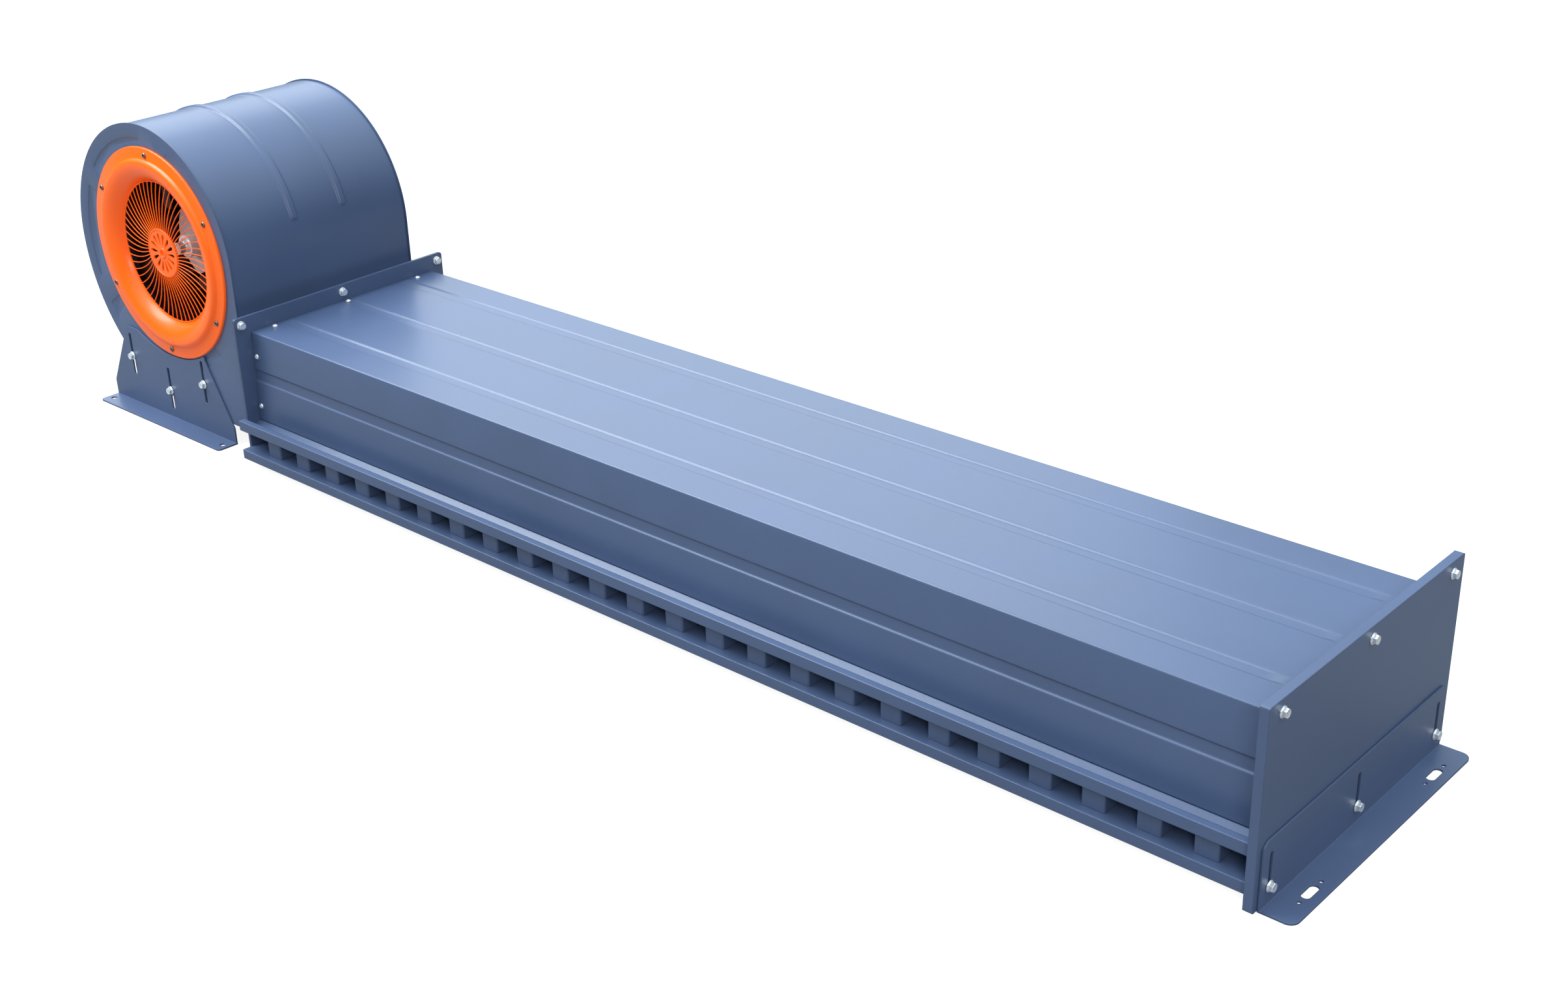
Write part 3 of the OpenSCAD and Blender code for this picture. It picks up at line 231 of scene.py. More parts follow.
drift.operation = "MULTIPLY"
link(patch_spread.outputs["Result"], drift.inputs[0])
link(wanted.outputs["Drift"], drift.inputs[1])
drift_gain = nodes.new("ShaderNodeMath")
drift_gain.inputs[1].default_value = 1
link(drift.outputs[0], drift_gain.inputs[0])
drifted_colour = nodes.new("ShaderNodeVectorMath")
drifted_colour.operation = "SCALE"
link(wanted.outputs["Color"], drifted_colour.inputs[0])
link(drift_gain.outputs[0], drifted_colour.inputs["Scale"])
drifted_gloss = nodes.new("ShaderNodeMath")
drifted_gloss.operation = "MULTIPLY"
link(drift_gain.outputs[0], drifted_gloss.inputs[0])
link(wanted.outputs["Roughness"], drifted_gloss.inputs[1])
link(drifted_colour.outputs["Vector"], made.inputs["Color"])
link(drifted_gloss.outputs[0], made.inputs["Roughness"])
link(grain_bump.outputs["Normal"], made.inputs["Normal"])


def grained_finish(name, colour, metallic, roughness, scale, height, drift, coat, edge):
    finish = bpy.data.materials.new(name)
    finish.use_nodes = True
    finish.diffuse_color = (*colour, 1)
    shader = finish.node_tree.nodes["Principled BSDF"]
    group = finish.node_tree.nodes.new("ShaderNodeGroup")
    group.node_tree = fine_grain
    for label, value in [("Color", (*colour, 1)), ("Scale", scale), ("Height", height),
                         ("Drift", drift), ("Roughness", roughness), ("Edge", edge)]:
        group.inputs[label].default_value = value
    link = finish.node_tree.links.new
    link(group.outputs["Color"], shader.inputs["Base Color"])
    link(group.outputs["Roughness"], shader.inputs["Roughness"])
    link(group.outputs["Normal"], shader.inputs["Normal"])
    shader.inputs["Metallic"].default_value = metallic
    shader.inputs["Coat Weight"].default_value = coat
    shader.inputs["Coat Roughness"].default_value = 0.24
    return finish


# A CAD node that is shown, or stands behind a finer piece, wears the finish of the real one
def wear(finish, *names):
    for name in names:
        for slot in bpy.data.objects[name].material_slots:
            slot.material = finish


slate_coat = grained_finish("slate_coat", (0.066, 0.1, 0.192), metallic=0.0, roughness=0.4,
                            scale=1100, height=0.16, drift=0.07, coat=0.3, edge=0.0019)

wrap_line = scroll_line(0)
ways = [(Vector(b) - Vector(a)).normalized() for a, b in zip(wrap_line, wrap_line[1:])]
outs = [Vector((-way.y, way.x)) for way in ways]
wrap_outs = [(a + b) / (1 + a.dot(b)) for a, b in zip(outs[:1] + outs, outs + outs[-1:])]
bead_steps = [0.6, 1.8, 2.8, 3.6, 4.4, 5.2, 6, 6.8, 7.6, 9]
front_bead, rear_bead = ([middle - v for v in bead_steps[::-1]] + [middle + v for v in bead_steps]
                         for middle in bead_middles)
across = [wrap_front, -100, *front_bead, 16, *rear_bead, 120, wrap_rear]
bm = bmesh.new()
sections = []
for (x, z), out in zip(wrap_line, wrap_outs):
    centre_z, r = (5.2, crest_r) if x > crest_x else (far_z, far_r)
    angle = math.degrees(math.atan2(z - centre_z, x - crest_x))
    past_end = max(bead_first - angle, angle - bead_last, 0) * radians(r) if z > far_z else math.inf
    beyond = past_end + bead_run_out if past_end > 0 else 0
    heights = []
    for y in across:
        away = min(math.hypot(y - middle, beyond) for middle in bead_middles)
        heights.append(bead_height * pressed(min(1, max(0, (bead_reach - away) / bead_flank))))
    outer = [(y, h) for y, h in zip(across, heights)]
    inner = [(y, h - wrap_sheet) for y, h in outer[::-1]]
    sections.append([bm.verts.new(at(x + shaft_x + out.x * h, y, z + shaft_z + out.y * h))
                     for y, h in outer + inner])
folded_sheet(bm, sections)
wear(slate_coat, "scroll_wrap")
piece = finished_piece(bm, "scroll_wrap", slate_coat, crease=40)
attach(piece, "casing")
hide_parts("scroll_wrap")

# Scroll casing's side plates: laser-cut steel, powder coated, welded to the wrap's edges, with an
# eye for the inlet ring. Flat pads with rounded corners are pressed into the plate round the
# ring, and one stands proud. The row gives each side's outer face and the way it looks.
blower_sides = [("front", -162, -1), ("rear", 176, 1)]
plate_rim, plate_sheet = 2.5, 1.5
eye_r, ring_screw_r, ring_screw_turn = 147, 159, 88.5
foot_holes = [(-29.5, -237), (71, -201)]
# a pad's first and last angle, its inner radius, how far it reaches, and the height of its face
pads = [(71, 83, 170.3, 300, 0.7), (93, 145, 174.5, 300, -0.9), (156, 202, 174.5, 300, -0.9),
        (214, 222, 174.5, 300, -0.9), (290, 312, 171, 191, -0.9)]
pad_flank = [(0, 0), (0.5, 0.16), (1, 0.5), (1.5, 0.84), (2, 1)]
pad_corner, pad_middle_r, pad_to_rim = 3.6, 178, 19
rim_polar = [(math.atan2(z, x) % (2 * pi), sqrt(x * x + z * z))
             for x, z in scroll_line(-pad_to_rim)]


def ring_of(centre_x, centre_z, r, count):
    turns = [2 * pi * k / count for k in range(count)]
    return [(centre_x + r * cos(a), centre_z + r * sin(a)) for a in turns]


# A pad's outline, drawn in by inset: along its inner side and back along its outer one, which
# keeps its distance from the plate's rim
def pad_line(first, last, inner_r, reach, inset):
    low, high = radians(first) + inset / pad_middle_r, radians(last) - inset / pad_middle_r
    corner = pad_corner - inset
    turn_in = corner / pad_middle_r
    straight = high - low - 2 * turn_in
    easing = [turn_in * (1 - cos(pi / 2 * k / 8)) for k in range(9)]
    places = [low + a for a in easing]
    places += [low + turn_in + straight * k / 24 for k in range(1, 24)]
    places += [high - a for a in easing[::-1]]
    inner, outer = [], []
    for a in places:
        (a0, r0), (a1, r1) = next(pair for pair in zip(rim_polar, rim_polar[1:])
                                  if pair[0][0] >= a >= pair[1][0])
        limit = min(reach, r0 + (r1 - r0) * (a - a0) / (a1 - a0))
        to_end = min(a - low, high - a) * pad_middle_r
        cut = corner - sqrt(max(0, corner ** 2 - max(0, corner - to_end) ** 2))
        inner.append((inner_r + inset + cut, a))
        outer.append((limit - inset - cut, a))
    return [(r * cos(a), r * sin(a)) for r, a in inner + outer[::-1]]


def lies_inside(border, point):
    inside = False
    for a, b in zip(border[-1:] + border, border):
        crosses = (a.y > point.y) != (b.y > point.y)
        if crosses and point.x < a.x + (b.x - a.x) * (point.y - a.y) / (b.y - a.y):
            inside = not inside
    return inside


# One face of a plate: what lies inside its outline and outside every hole and pad
def cut_plate(bm, loops):
    corners = [vert for loop in loops for vert in loop]
    flat = [Vector((vert.co.x, vert.co.z)) for vert in corners]
    edges, borders, start = [], [], 0
    for loop in loops:
        edges += [(start + k, start + (k + 1) % len(loop)) for k in range(len(loop))]
        borders.append(flat[start:start + len(loop)])
        start += len(loop)
    for triangle in delaunay_2d_cdt(flat, edges, [], 0, 1e-7)[2]:
        middle = (flat[triangle[0]] + flat[triangle[1]] + flat[triangle[2]]) / 3
        if sum(lies_inside(border, middle) for border in borders) == 1:
            bm.faces.new([corners[k] for k in triangle])


for side, face_y, out in blower_sides:
    bm = bmesh.new()

    def plate_loop(points, h):
        return [bm.verts.new(at(x + shaft_x, face_y + out * h, z + shaft_z)) for x, z in points]

    ring_screws = [radians(ring_screw_turn + 60 * i) for i in range(6)]
    holes = [(0, 0, eye_r, 128)]
    holes += [(ring_screw_r * cos(a), ring_screw_r * sin(a) * -out, 2.2, 16) for a in ring_screws]
    holes += [(x, z, 3.2, 16) for x, z in foot_holes]
    cuts = [scroll_line(plate_rim)] + [ring_of(*hole) for hole in holes]
    outer_loops = [plate_loop(points, 0) for points in cuts]
    inner_loops = [plate_loop(points, -plate_sheet) for points in cuts]
    for low, high in zip(outer_loops, inner_loops):
        skin(bm, low, high)
    for *pad, height in pads:
        steps = [plate_loop(pad_line(*pad, inset), height * share) for inset, share in pad_flank]
        outer_loops.append(steps[0])
        for low, high in zip(steps, steps[1:]):
            skin(bm, low, high)
        bm.faces.new(steps[-1])
    cut_plate(bm, outer_loops)
    cut_plate(bm, inner_loops)
    node = "scroll_side_" + side
    wear(slate_coat, node)
    piece = finished_piece(bm, node, slate_coat, crease=50, flat_plate=True)
    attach(piece, "casing")
    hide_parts(node)

# Cut-off: a steel tongue with a rounded nose, welded across the outlet between the side plates,
# that parts the blown air from the turning wheel. It shows only through the guard. Its slate is
# painted darker, as painted shade for the dim inside of the casing, and its coat is duller.
slate_painted_shade = grained_finish("slate_shade", (0.04, 0.06, 0.11), metallic=0.0, roughness=0.45,
                            scale=1100, height=0.16, drift=0.07, coat=0.1, edge=0.0019)
wear(slate_painted_shade, "scroll_cutoff")

# Outlet flange: steel plate cut to a frame, welded round the casing's mouth and powder coated
# with it. The joint's bolts draw it against the duct's flange.
wear(slate_coat, "outlet_flange")

# Motor: a can of rolled steel in black paint, between two end shields of cast alloy that are
# turned bright at the boss. A ball bearing sits in each shield.
black_paint = grained_finish("black_paint", (0.012, 0.012, 0.014), metallic=0.0, roughness=0.5,
                             scale=900, height=0.15, drift=0.1, coat=0.0, edge=0.001)
cast_alloy = grained_finish("cast_alloy", (0.95, 0.84, 0.82), metallic=0.2, roughness=0.4,
                            scale=420, height=0.2, drift=0.06, coat=0.3, edge=0.0008)
bright_zinc = grained_finish("zinc_plate", (0.93, 0.94, 0.96), metallic=0.7, roughness=0.22,
                             scale=500, height=0.1, drift=0.08, coat=0.0, edge=0.00025)
wear(black_paint, "motor_can")
wear(cast_alloy, "motor_shield_front", "motor_shield_rear")
wear(bright_zinc, "motor_bearings")

# Motor bracket: a band of black steel round the can, with three arms screwed to it. Each arm is
# bent over at its end and welded to the inside of the front side plate.
black_steel = grained_finish("black_steel", (0.02, 0.02, 0.022), metallic=0.6, roughness=0.4,
                             scale=500, height=0.15, drift=0.1, coat=0.0, edge=0.0005)
wear(black_steel, "motor_bracket")
wear(bright_zinc, "motor_bracket_bolts")

# Shaft and hub: a ground steel shaft carries a cast hub, whose flange is fixed to the wheel's
# centre plate with four black screws. A nut on the shaft's end clamps the hub.
wear(bright_zinc, "motor_shaft", "shaft_nut")
wear(cast_alloy, "wheel_hub")
wear(black_steel, "hub_screws")

# Fan wheel: a centre plate, two rows of curved blades and two end rings, all pressed from
# galvanised strip and clinched together. The zinc is dull, and painted near black as painted
# shade for the wheel deep inside the casing.
galvanised_painted_shade = grained_finish("galvanised", (0.012, 0.012, 0.013), metallic=0.5, roughness=0.5,
                                 scale=160, height=0.15, drift=0.16, coat=0.0, edge=0.0004)
wear(galvanised_painted_shade, "wheel_centre_plate", "wheel_blades", "wheel_end_rings")

# Inlet rings: moulded in orange plastic. Its shader has a faint emission, a painted glow that
# lifts the orange. The bell runs in from a rounded crest to the throat, and the crest rolls over
# into a flat flange.
# The section holds (radius, height out of the side plate) and is turned round the shaft.
orange_plastic = grained_finish("orange_plastic", (1.0, 0.14, 0.003), metallic=0.0, roughness=0.33,
                                scale=700, height=0.05, drift=0.03, coat=0.2, edge=0.0006)
# Painted glow: a faint orange emission, so the plastic glows a little though it is no lamp
painted_glow_shader = orange_plastic.node_tree.nodes["Principled BSDF"]
painted_glow_shader.inputs["Emission Color"].default_value = (1, 0.085, 0.004, 1)
painted_glow_shader.inputs["Emission Strength"].default_value = 0.2
painted_glow_shader.inputs["Specular IOR Level"].default_value = 0.35
crest, crest_h, bell_r, bell_h, bell_wall = 144, 2, 32, -22, 2.5
throat_turn = math.asin(10.5 / bell_r)
bell_turns = [throat_turn + (pi / 2 - throat_turn) * k / 20 for k in range(21)]
inside_r = bell_r - bell_wall
ring_section = [(crest - bell_r * cos(a), bell_h + bell_r * sin(a)) for a in bell_turns]
ring_section += [(crest + 8 * sin(pi / 2 * k / 8), crest_h + 8 * cos(pi / 2 * k / 8))
                 for k in range(1, 7)]
ring_section += [(152.2, 4.5), (153, 4), (168.2, 4), (169.4, 3.6), (170, 2.6), (170, 0),
                 (149.5, 0), (149.5, 2)]
ring_section += [(crest + 5.5 * cos(pi / 2 * k / 6), crest_h + 5.5 * sin(pi / 2 * k / 6))
                 for k in range(1, 7)]
ring_section += [(crest - inside_r * cos(a), bell_h + inside_r * sin(a))
                 for a in bell_turns[-2::-1] if bell_h + inside_r * sin(a) > -11.5]
ring_section += [(116.4, -11.5), (114.3, -11.9)]


def turn_round_shaft(bm, section, count, face_y, out):
    rings = []
    for k in range(count):
        a = 2 * pi * k / count
        rings.append([bm.verts.new(at(shaft_x + r * cos(a), face_y + out * h, shaft_z + r * sin(a)))
                      for r, h in section])
    for low, high in zip(rings, rings[1:] + rings[:1]):
        skin(bm, low, high)


for side, face_y, out in blower_sides:
    bm = bmesh.new()
    turn_round_shaft(bm, ring_section, 256, face_y, out)
    node = "inlet_ring_" + side
    wear(orange_plastic, node)
    piece = finished_piece(bm, node, orange_plastic, crease=50)
    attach(piece, "casing")
    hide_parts(node)

# Inlet guards: one moulding in the rings' orange, with thin round spokes that all bow the same
# way and tilt towards the hub, a hub disc with drop-shaped slots, a raised edge and a cupped
# boss, and a rim that is seated in the bell. Heights h are off the side plate, towards the air.
spoke_n, spoke_steps, spoke_span, spoke_bow_r = 56, 12, 74.6, 144
spoke_middle_r, spoke_middle_h, spoke_tilt = 75.5, -7.8, radians(5)
spoke_wide, spoke_deep = 0.78, 0.95
hub_h, hub_disc = -3.6, 3
petal_n = 14
# a slot's half width at each radius of the hub disc
petal = [(9, 0), (13.2, 0), (13.6, 0.55), (14.4, 0.95), (16, 1.3), (19, 1.75), (22, 2.2),
         (25, 2.65), (27.5, 2.95), (29.4, 2.6), (30.8, 1.85), (31.6, 1.1), (32, 0), (36.4, 0)]
hub_edge = [(36.4, -6.6), (36.4, -3.6), (36.9, -3.0), (38.2, -2.9), (39, -3.6), (39, -6.3),
            (38.6, -6.6)]
hub_boss = [(4.6, -5), (4.9, -2.3), (5.6, -1.9), (7.4, -1.9), (8.3, -2.4), (9, -3.6), (9, -6.6),
            (4.6, -6.6)]
guard_rim = [(112.2, -11.4), (112.2, -9.6), (113.5, -9.2), (113.5, -11.4)]
cup_r, cup_h, cup_floor_h = 4.7, -4.9, -6.4


# A solid drawn through loops of points, with a cap on both of its ends
def capped_solid(bm, loops):
    for low, high in zip(loops, loops[1:]):
        skin(bm, low, high)
    bm.faces.new(loops[0][::-1])
    bm.faces.new(loops[-1])


for side, face_y, out in blower_sides:
    bm = bmesh.new()

    def guard_point(x, y, h):
        return bm.verts.new(at(shaft_x + x, face_y + out * h, shaft_z - out * y))

    half_turn = math.asin(spoke_span / spoke_bow_r / 2)
    for i in range(spoke_n):
        spin = 2 * pi * i / spoke_n
        loops = []
        for k in range(spoke_steps + 1):
            a = half_turn - 2 * half_turn * k / spoke_steps
            run = spoke_bow_r * sin(a)
            x, y = spoke_middle_r - run, spoke_bow_r * (cos(a) - cos(half_turn))
            h = spoke_middle_h + run * math.tan(spoke_tilt)
            loop = []
            for j in range(8):
                b = 2 * pi * j / 8
                px = x - spoke_wide * cos(b) * sin(a)
                py = y + spoke_wide * cos(b) * cos(a)
                loop.append(guard_point(px * cos(spin) - py * sin(spin),
                                        px * sin(spin) + py * cos(spin), h + spoke_deep * sin(b)))
            loops.append(loop)
        capped_solid(bm, loops)
    disc_top, disc_base = [], []
    for i in range(petal_n):
        middle = 2 * pi * i / petal_n
        for r, gap in petal:
            for angle in (middle - pi / petal_n, middle - gap / r, middle + gap / r):
                for h, store in ((hub_h, disc_top), (hub_h - hub_disc, disc_base)):
                    store.append(guard_point(r * cos(angle), r * sin(angle), h))

    def disc_vert(store, station, row):
        sector, column = station
        return store[(sector % petal_n * len(petal) + row) * 3 + column]

    for i in range(petal_n):
        stations = [(i, 0), (i, 1), (i, 2), (i + 1, 0)]
        for row in range(len(petal) - 1):
            slotted = petal[row][1] > 0 or petal[row + 1][1] > 0
            for a, b in zip(stations, stations[1:]):
                if slotted and a == stations[1]:
                    continue
                for store in (disc_top, disc_base):
                    bm.faces.new((disc_vert(store, a, row), disc_vert(store, b, row),
                                  disc_vert(store, b, row + 1), disc_vert(store, a, row + 1)))
            if slotted:
                for a in stations[1:3]:
                    bm.faces.new((disc_vert(disc_top, a, row), disc_vert(disc_top, a, row + 1),
                                  disc_vert(disc_base, a, row + 1), disc_vert(disc_base, a, row)))
        for row in (0, len(petal) - 1):
            for a, b in zip(stations, stations[1:]):
                bm.faces.new((disc_vert(disc_top, a, row), disc_vert(disc_top, b, row),
                              disc_vert(disc_base, b, row), disc_vert(disc_base, a, row)))
    bmesh.ops.remove_doubles(bm, verts=disc_top + disc_base, dist=0.00001)
    for section in (hub_edge, hub_boss, guard_rim):
        turn_round_shaft(bm, section, 128, face_y, out)
    cup, cup_floor = ([bm.verts.new(at(shaft_x + x, face_y + out * h, shaft_z + z))
                       for x, z in ring_of(0, 0, cup_r, 48)] for h in (cup_h, cup_floor_h))
    bm.faces.new(cup)
    bm.faces.new(cup_floor)
    skin(bm, cup, cup_floor)
    node = "inlet_guard_" + side
    wear(orange_plastic, node)
    piece = finished_piece(bm, node, orange_plastic, crease=40)
    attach(piece, "casing")
    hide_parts(node)

# Ring screws: six button-head screws of browned steel through each ring's flange into the side
# plate. The head is domed, with a hexagon socket. Rows are (radius, height, 1 for a hexagon).
browned_steel = grained_finish("screw_steel", (0.2, 0.17, 0.16), metallic=0.9, roughness=0.26,
                               scale=500, height=0.1, drift=0.1, coat=0.0, edge=0.0002)
ring_flange = 4
button_head = [(2, -4, 0), (2, 0, 0), (4.4, 0, 0), (4.5, 0.5, 0), (4.3, 1.2, 0), (3.8, 1.9, 0),
               (3.1, 2.4, 0), (2.5, 2.6, 0), (1.9, 2.65, 1), (1.8, 2.5, 1), (1.7, 1.1, 1),
               (0.6, 0.9, 0)]


# How far a hexagon's side lies from its middle, in the direction a, for a flat at distance 1
def hexagon_at(a):
    return 1 / cos((a + pi / 6) % (pi / 3) - pi / 6)


for side, face_y, out in blower_sides:
    bm = bmesh.new()
    for i in range(6):
        turn = radians(ring_screw_turn + 60 * i)
        centre_x = shaft_x + ring_screw_r * cos(turn)
        centre_z = shaft_z - out * ring_screw_r * sin(turn)
        loops = []
        for r, h, hexagon in button_head:
            loop = []
            for k in range(36):
                a = 2 * pi * k / 36
                reach = r * 0.88 * hexagon_at(a) if hexagon else r
                loop.append(bm.verts.new(at(centre_x + reach * cos(a),
                                            face_y + out * (ring_flange + h),
                                            centre_z + reach * sin(a))))
            loops.append(loop)
        capped_solid(bm, loops)
    node = "ring_screws_" + side
    wear(browned_steel, node)
    piece = finished_piece(bm, node, browned_steel, crease=40)
    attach(piece, "casing")
    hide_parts(node)

# Blower feet: steel plate cut with two horns and three upright slots, bent out at the bottom
# into a flange that stands on the floor, and powder coated like the casing.
wear(slate_coat, "blower_foot_front", "blower_foot_rear")

# Foot bolts: three zinc-plated hexagon flange bolts through each foot's slots, two into nuts
# inside the casing and the far one into the side plate. The head is chamfered and slightly
# dished. Rows are (reach, height, 1 for a hexagon), from the head's seat outwards.
flange_bolt = [(3, 0, 0), (6.6, 0, 0), (7, 0.3, 0), (7, 0.9, 0), (6.7, 1.3, 0), (6, 1.6, 0),
               (5.9, 1.6, 1), (5.9, 5.4, 1), (5.45, 6.1, 1), (4.95, 6.5, 1), (4.5, 6.5, 0),
               (3.6, 6.1, 0), (2.2, 6, 0)]
across_flats_half = 5
# a foot bolt's x, its z and its shank's length
foot_bolt_rows = [(-345, 86, 5), (-244.5, 50, 9), (-144, 86, 9)]


# A bolt holds its seat, the way its head looks, and its shank's length
def bolt_set(bolts):
    bm = bmesh.new()
    for number, (seat, look, shank) in enumerate(bolts):
        out, side = Vector(look), Vector((0, 0, 1))
        third = out.cross(side)
        turned = 0.4 + 1.1 * number
        loops = []
        for limit, h, hexagon in [(3, -shank, 0)] + flange_bolt:
            loop = []
            for k in range(48):
                a = 2 * pi * k / 48
                r = min(limit, across_flats_half * hexagon_at(a)) if hexagon else limit
                around = side * cos(a + turned) + third * sin(a + turned)
                loop.append(bm.verts.new(at(*(Vector(seat) + out * h + around * r))))
            loops.append(loop)
        capped_solid(bm, loops)
    return bm


for side, seat_y, look in [("front", -165.1, (0, -1, 0)), ("rear", 179.1, (0, 1, 0))]:
    node = "foot_bolts_" + side
    bm = bolt_set([((x, seat_y, z), look, shank) for x, z, shank in foot_bolt_rows])
    wear(bright_zinc, node)
    piece = finished_piece(bm, node, bright_zinc, crease=28)
    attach(piece, "casing")
    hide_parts(node)
wear(bright_zinc, "foot_nuts")

# Duct flange: the steel frame at the duct's open end, with a collar that the cover slips over.
# It is powder coated, and its corners are rounded.
wear(slate_coat, "duct_flange")

# Joint bolts: six zinc-plated flange bolts draw the casing's and the duct's flanges together.
# The three at the top go in from the duct's side and the three at the bottom from the blower's.
joint_bolt_ys = (-176.5, 13.5, 203.5)
bm = bolt_set([((2.5, y, 222.5), (1, 0, 0), 8) for y in joint_bolt_ys]
              + [((-2, y, 24.5), (-1, 0, 0), 4) for y in joint_bolt_ys])
wear(bright_zinc, "joint_bolts", "joint_nuts")
piece = finished_piece(bm, "joint_bolts", bright_zinc, crease=28)
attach(piece, "casing")
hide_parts("joint_bolts")

# Duct cover: one powder-coated steel sheet folded over the back, the top and the leaning front.
# Three flat-bottomed grooves are pressed into the top, which run out at both ends, and one wide
# band into the front. Lines are (y, z), and each section holds its x and the grooves' depth.
cover_sheet, cover_bend = 1.5, 2.2
duct_back, duct_front, duct_top = 192, -160, 208
front_lean, front_drop = 7, 141
lean = math.atan(front_lean / front_drop)
groove_middles, groove_half, groove_flank, groove_depth = (131.5, 17, -97.5), 10.6, 3.8, 2.1
groove_share = [(2.5, 0), (11, 0), (13, 0.2), (18, 0.5), (24.5, 0.62), (29, 1), (400, 1), (900, 1),
                (1400, 1), (1690, 1), (1697, 0.88), (1703, 0.66), (1709, 0.36), (1714, 0.1),
                (1717, 0), (1730, 0), (1758, 0)]
band_depth = 2.2
sixths = [k / 6 for k in range(7)]
# the front panel from the bend down: its height, and how far it is pressed in there
front_steps = [(149.9, 0)] + [(149.2 - 3.2 * u, band_depth * pressed(u)) for u in sixths]
front_steps += [(145.4, band_depth), (132.6, band_depth)]
front_steps += [(131.8 - 3.4 * u, band_depth * (1 - pressed(u))) for u in sixths]
front_steps += [(127.8, 0), (67, 0)]
bend_tail = cover_bend + 0.8


def cover_line(share):
    depth = groove_depth * share
    line = [(duct_back, 13), (duct_back, duct_top - bend_tail)]
    for a in [pi / 2 * k / 5 for k in range(6)]:
        line.append((duct_back - cover_bend + cover_bend * cos(a),
                     duct_top - cover_bend + cover_bend * sin(a)))
    line += [(duct_back - bend_tail, duct_top)]
    for middle in groove_middles:
        for edge, way in ((middle + groove_half, -1), (middle - groove_half, 1)):
            flank = [(edge - way * 0.8, duct_top)]
            flank += [(edge + way * groove_flank * u, duct_top - depth * pressed(u))
                      for u in sixths]
            flank += [(edge + way * (groove_flank + 0.8), duct_top - depth)]
            line += flank if way < 0 else flank[::-1]
    line += [(duct_front + bend_tail, duct_top)]
    for a in [(pi / 2 - lean) * k / 5 for k in range(6)]:
        line.append((duct_front + cover_bend - cover_bend * sin(a),
                     duct_top - cover_bend + cover_bend * cos(a)))
    line += [(duct_front - bend_tail * sin(lean), duct_top - bend_tail)]
    for z, into in front_steps:
        line.append((duct_front - front_lean * (duct_top - z) / front_drop + into, z))
    return line


bm = bmesh.new()
sections = []
for x, share in groove_share:
    line = cover_line(share)
    inside = []
    for before, (y, z), after in zip(line[:1] + line, line, line[1:] + line[-1:]):
        along = (Vector(after) - Vector(before)).normalized()
        inside.append((y - along.y * cover_sheet, z + along.x * cover_sheet))
    sections.append([bm.verts.new(at(x, y, z)) for y, z in line + inside[::-1]])
folded_sheet(bm, sections)
wear(slate_coat, "duct_cover")
cover = finished_piece(bm, "duct_cover", slate_coat, crease=40)
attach(cover, "casing")
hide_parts("duct_cover")

# Duct floor: a flat steel sheet under the duct, lapped up inside the cover's back and welded to
# both flanges, in the same powder coat.
wear(slate_coat, "duct_floor")

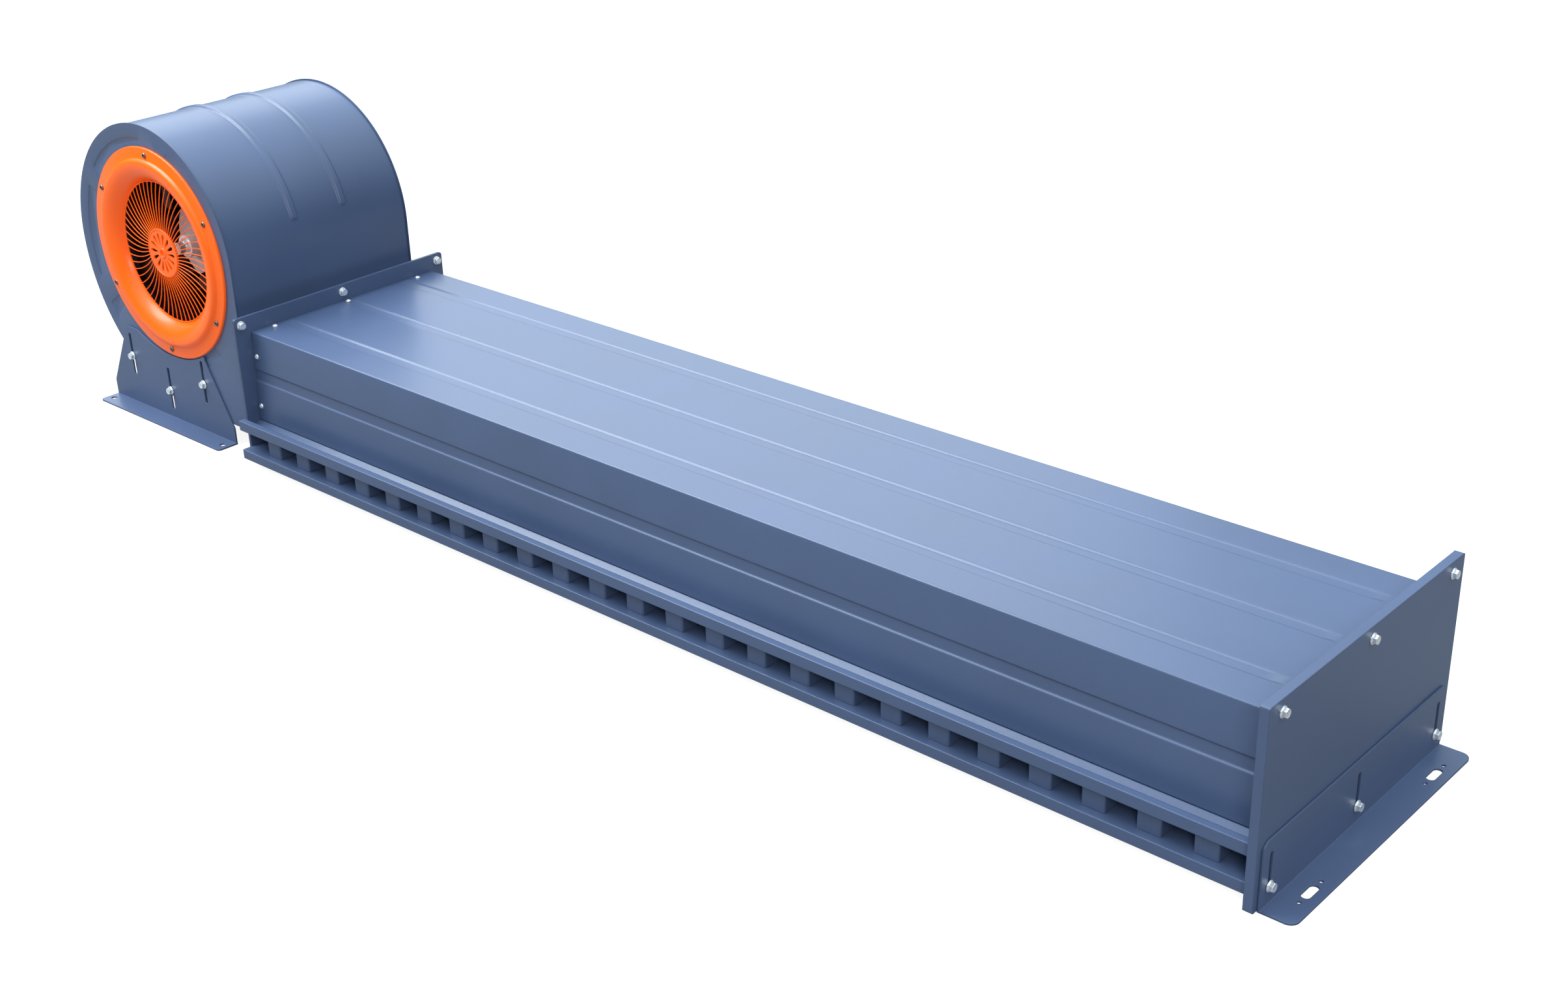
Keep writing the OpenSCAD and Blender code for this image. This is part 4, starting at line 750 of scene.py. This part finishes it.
# Duct screws: zinc-plated sheet screws with a domed head and a cross cut into it, driven through
# the cover into the flange's collar. They stand in the top, the leaning front and the back.
screw_x = 11.5
screw_head = [(2, -3), (2, 0), (4.2, 0), (4.3, 0.4), (4.1, 1), (3.6, 1.6), (2.9, 2.1), (2.3, 2.35),
              (2.2, 2.4), (1.4, 2.5), (0.75, 2.55), (0.6, 2.55)]
cross_r, cross_half, cross_depth = 2.25, 0.45, 1.3
screws = [((screw_x, y, duct_top), (0, 0, 1)) for y in (-123, 16, 155)]
screws += [((screw_x, duct_front - front_lean * (duct_top - z) / front_drop, z),
            (0, -cos(lean), sin(lean))) for z in (90, 170)]
screws += [((screw_x, duct_back, z), (0, 1, 0)) for z in (90, 170)]
bm = bmesh.new()
for seat, look in screws:
    out, side = Vector(look), Vector((1, 0, 0))
    third = out.cross(side)
    loops = []
    for r, h in screw_head:
        loop = []
        for k in range(48):
            a = 2 * pi * k / 48
            from_arm = min(abs(r * sin(a)), abs(r * cos(a)))
            cut = h > 1 and r < cross_r and from_arm < cross_half
            drop = cross_depth * (1 - 0.3 * r / 2.3) if cut else 0
            around = side * cos(a) + third * sin(a)
            loop.append(bm.verts.new(at(*(Vector(seat) + out * (h - drop) + around * r))))
        loops.append(loop)
    capped_solid(bm, loops)
wear(bright_zinc, "duct_screws")
piece = finished_piece(bm, "duct_screws", bright_zinc, crease=35)
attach(piece, "casing")
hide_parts("duct_screws")

# Nozzle's upper lip: a steel sheet folded to a sloped strip under the front panel, a narrow top
# and an upright face over the slot. It is welded to the cover and powder coated.
wear(slate_coat, "nozzle_lip")

# Nozzle's lower rail: a steel sheet folded to the slot's floor and a low front edge with a return
# underneath, welded to the duct's floor and powder coated.
wear(slate_coat, "nozzle_rail")

# Nozzle blocks: short lengths of square steel tube that stand in the slot and hold it open, each
# welded to the rail and the lip, in the same powder coat.
wear(slate_coat, "nozzle_blocks")

# Duct end flange: the steel frame at the duct's closed end, with a collar inside the cover. The
# end plate is bolted against it.
wear(slate_coat, "duct_end_flange")

# End plate: a powder-coated steel plate whose rim is folded back round it, with rounded corners.
# Three flange bolts along its top and three through the end foot hold it.
wear(slate_coat, "end_plate")
end_bolt_ys = (-188.5, 0, 188.5)
bm = bolt_set([((1761.5, y, 231.5), (1, 0, 0), 8) for y in end_bolt_ys])
wear(bright_zinc, "end_plate_bolts", "end_plate_nuts")
piece = finished_piece(bm, "end_plate_bolts", bright_zinc, crease=28)
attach(piece, "casing")
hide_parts("end_plate_bolts")

# End foot: a steel plate bent out at the bottom, with three upright slots, two oblong anchor
# holes and four pilot holes, powder coated. Three flange bolts clamp it to the end plate.
wear(slate_coat, "end_foot")
bm = bolt_set([((1764.6, y, 24.4), (1, 0, 0), 4) for y in end_bolt_ys])
wear(bright_zinc, "end_foot_bolts")
piece = finished_piece(bm, "end_foot_bolts", bright_zinc, crease=28)
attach(piece, "casing")
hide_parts("end_foot_bolts")
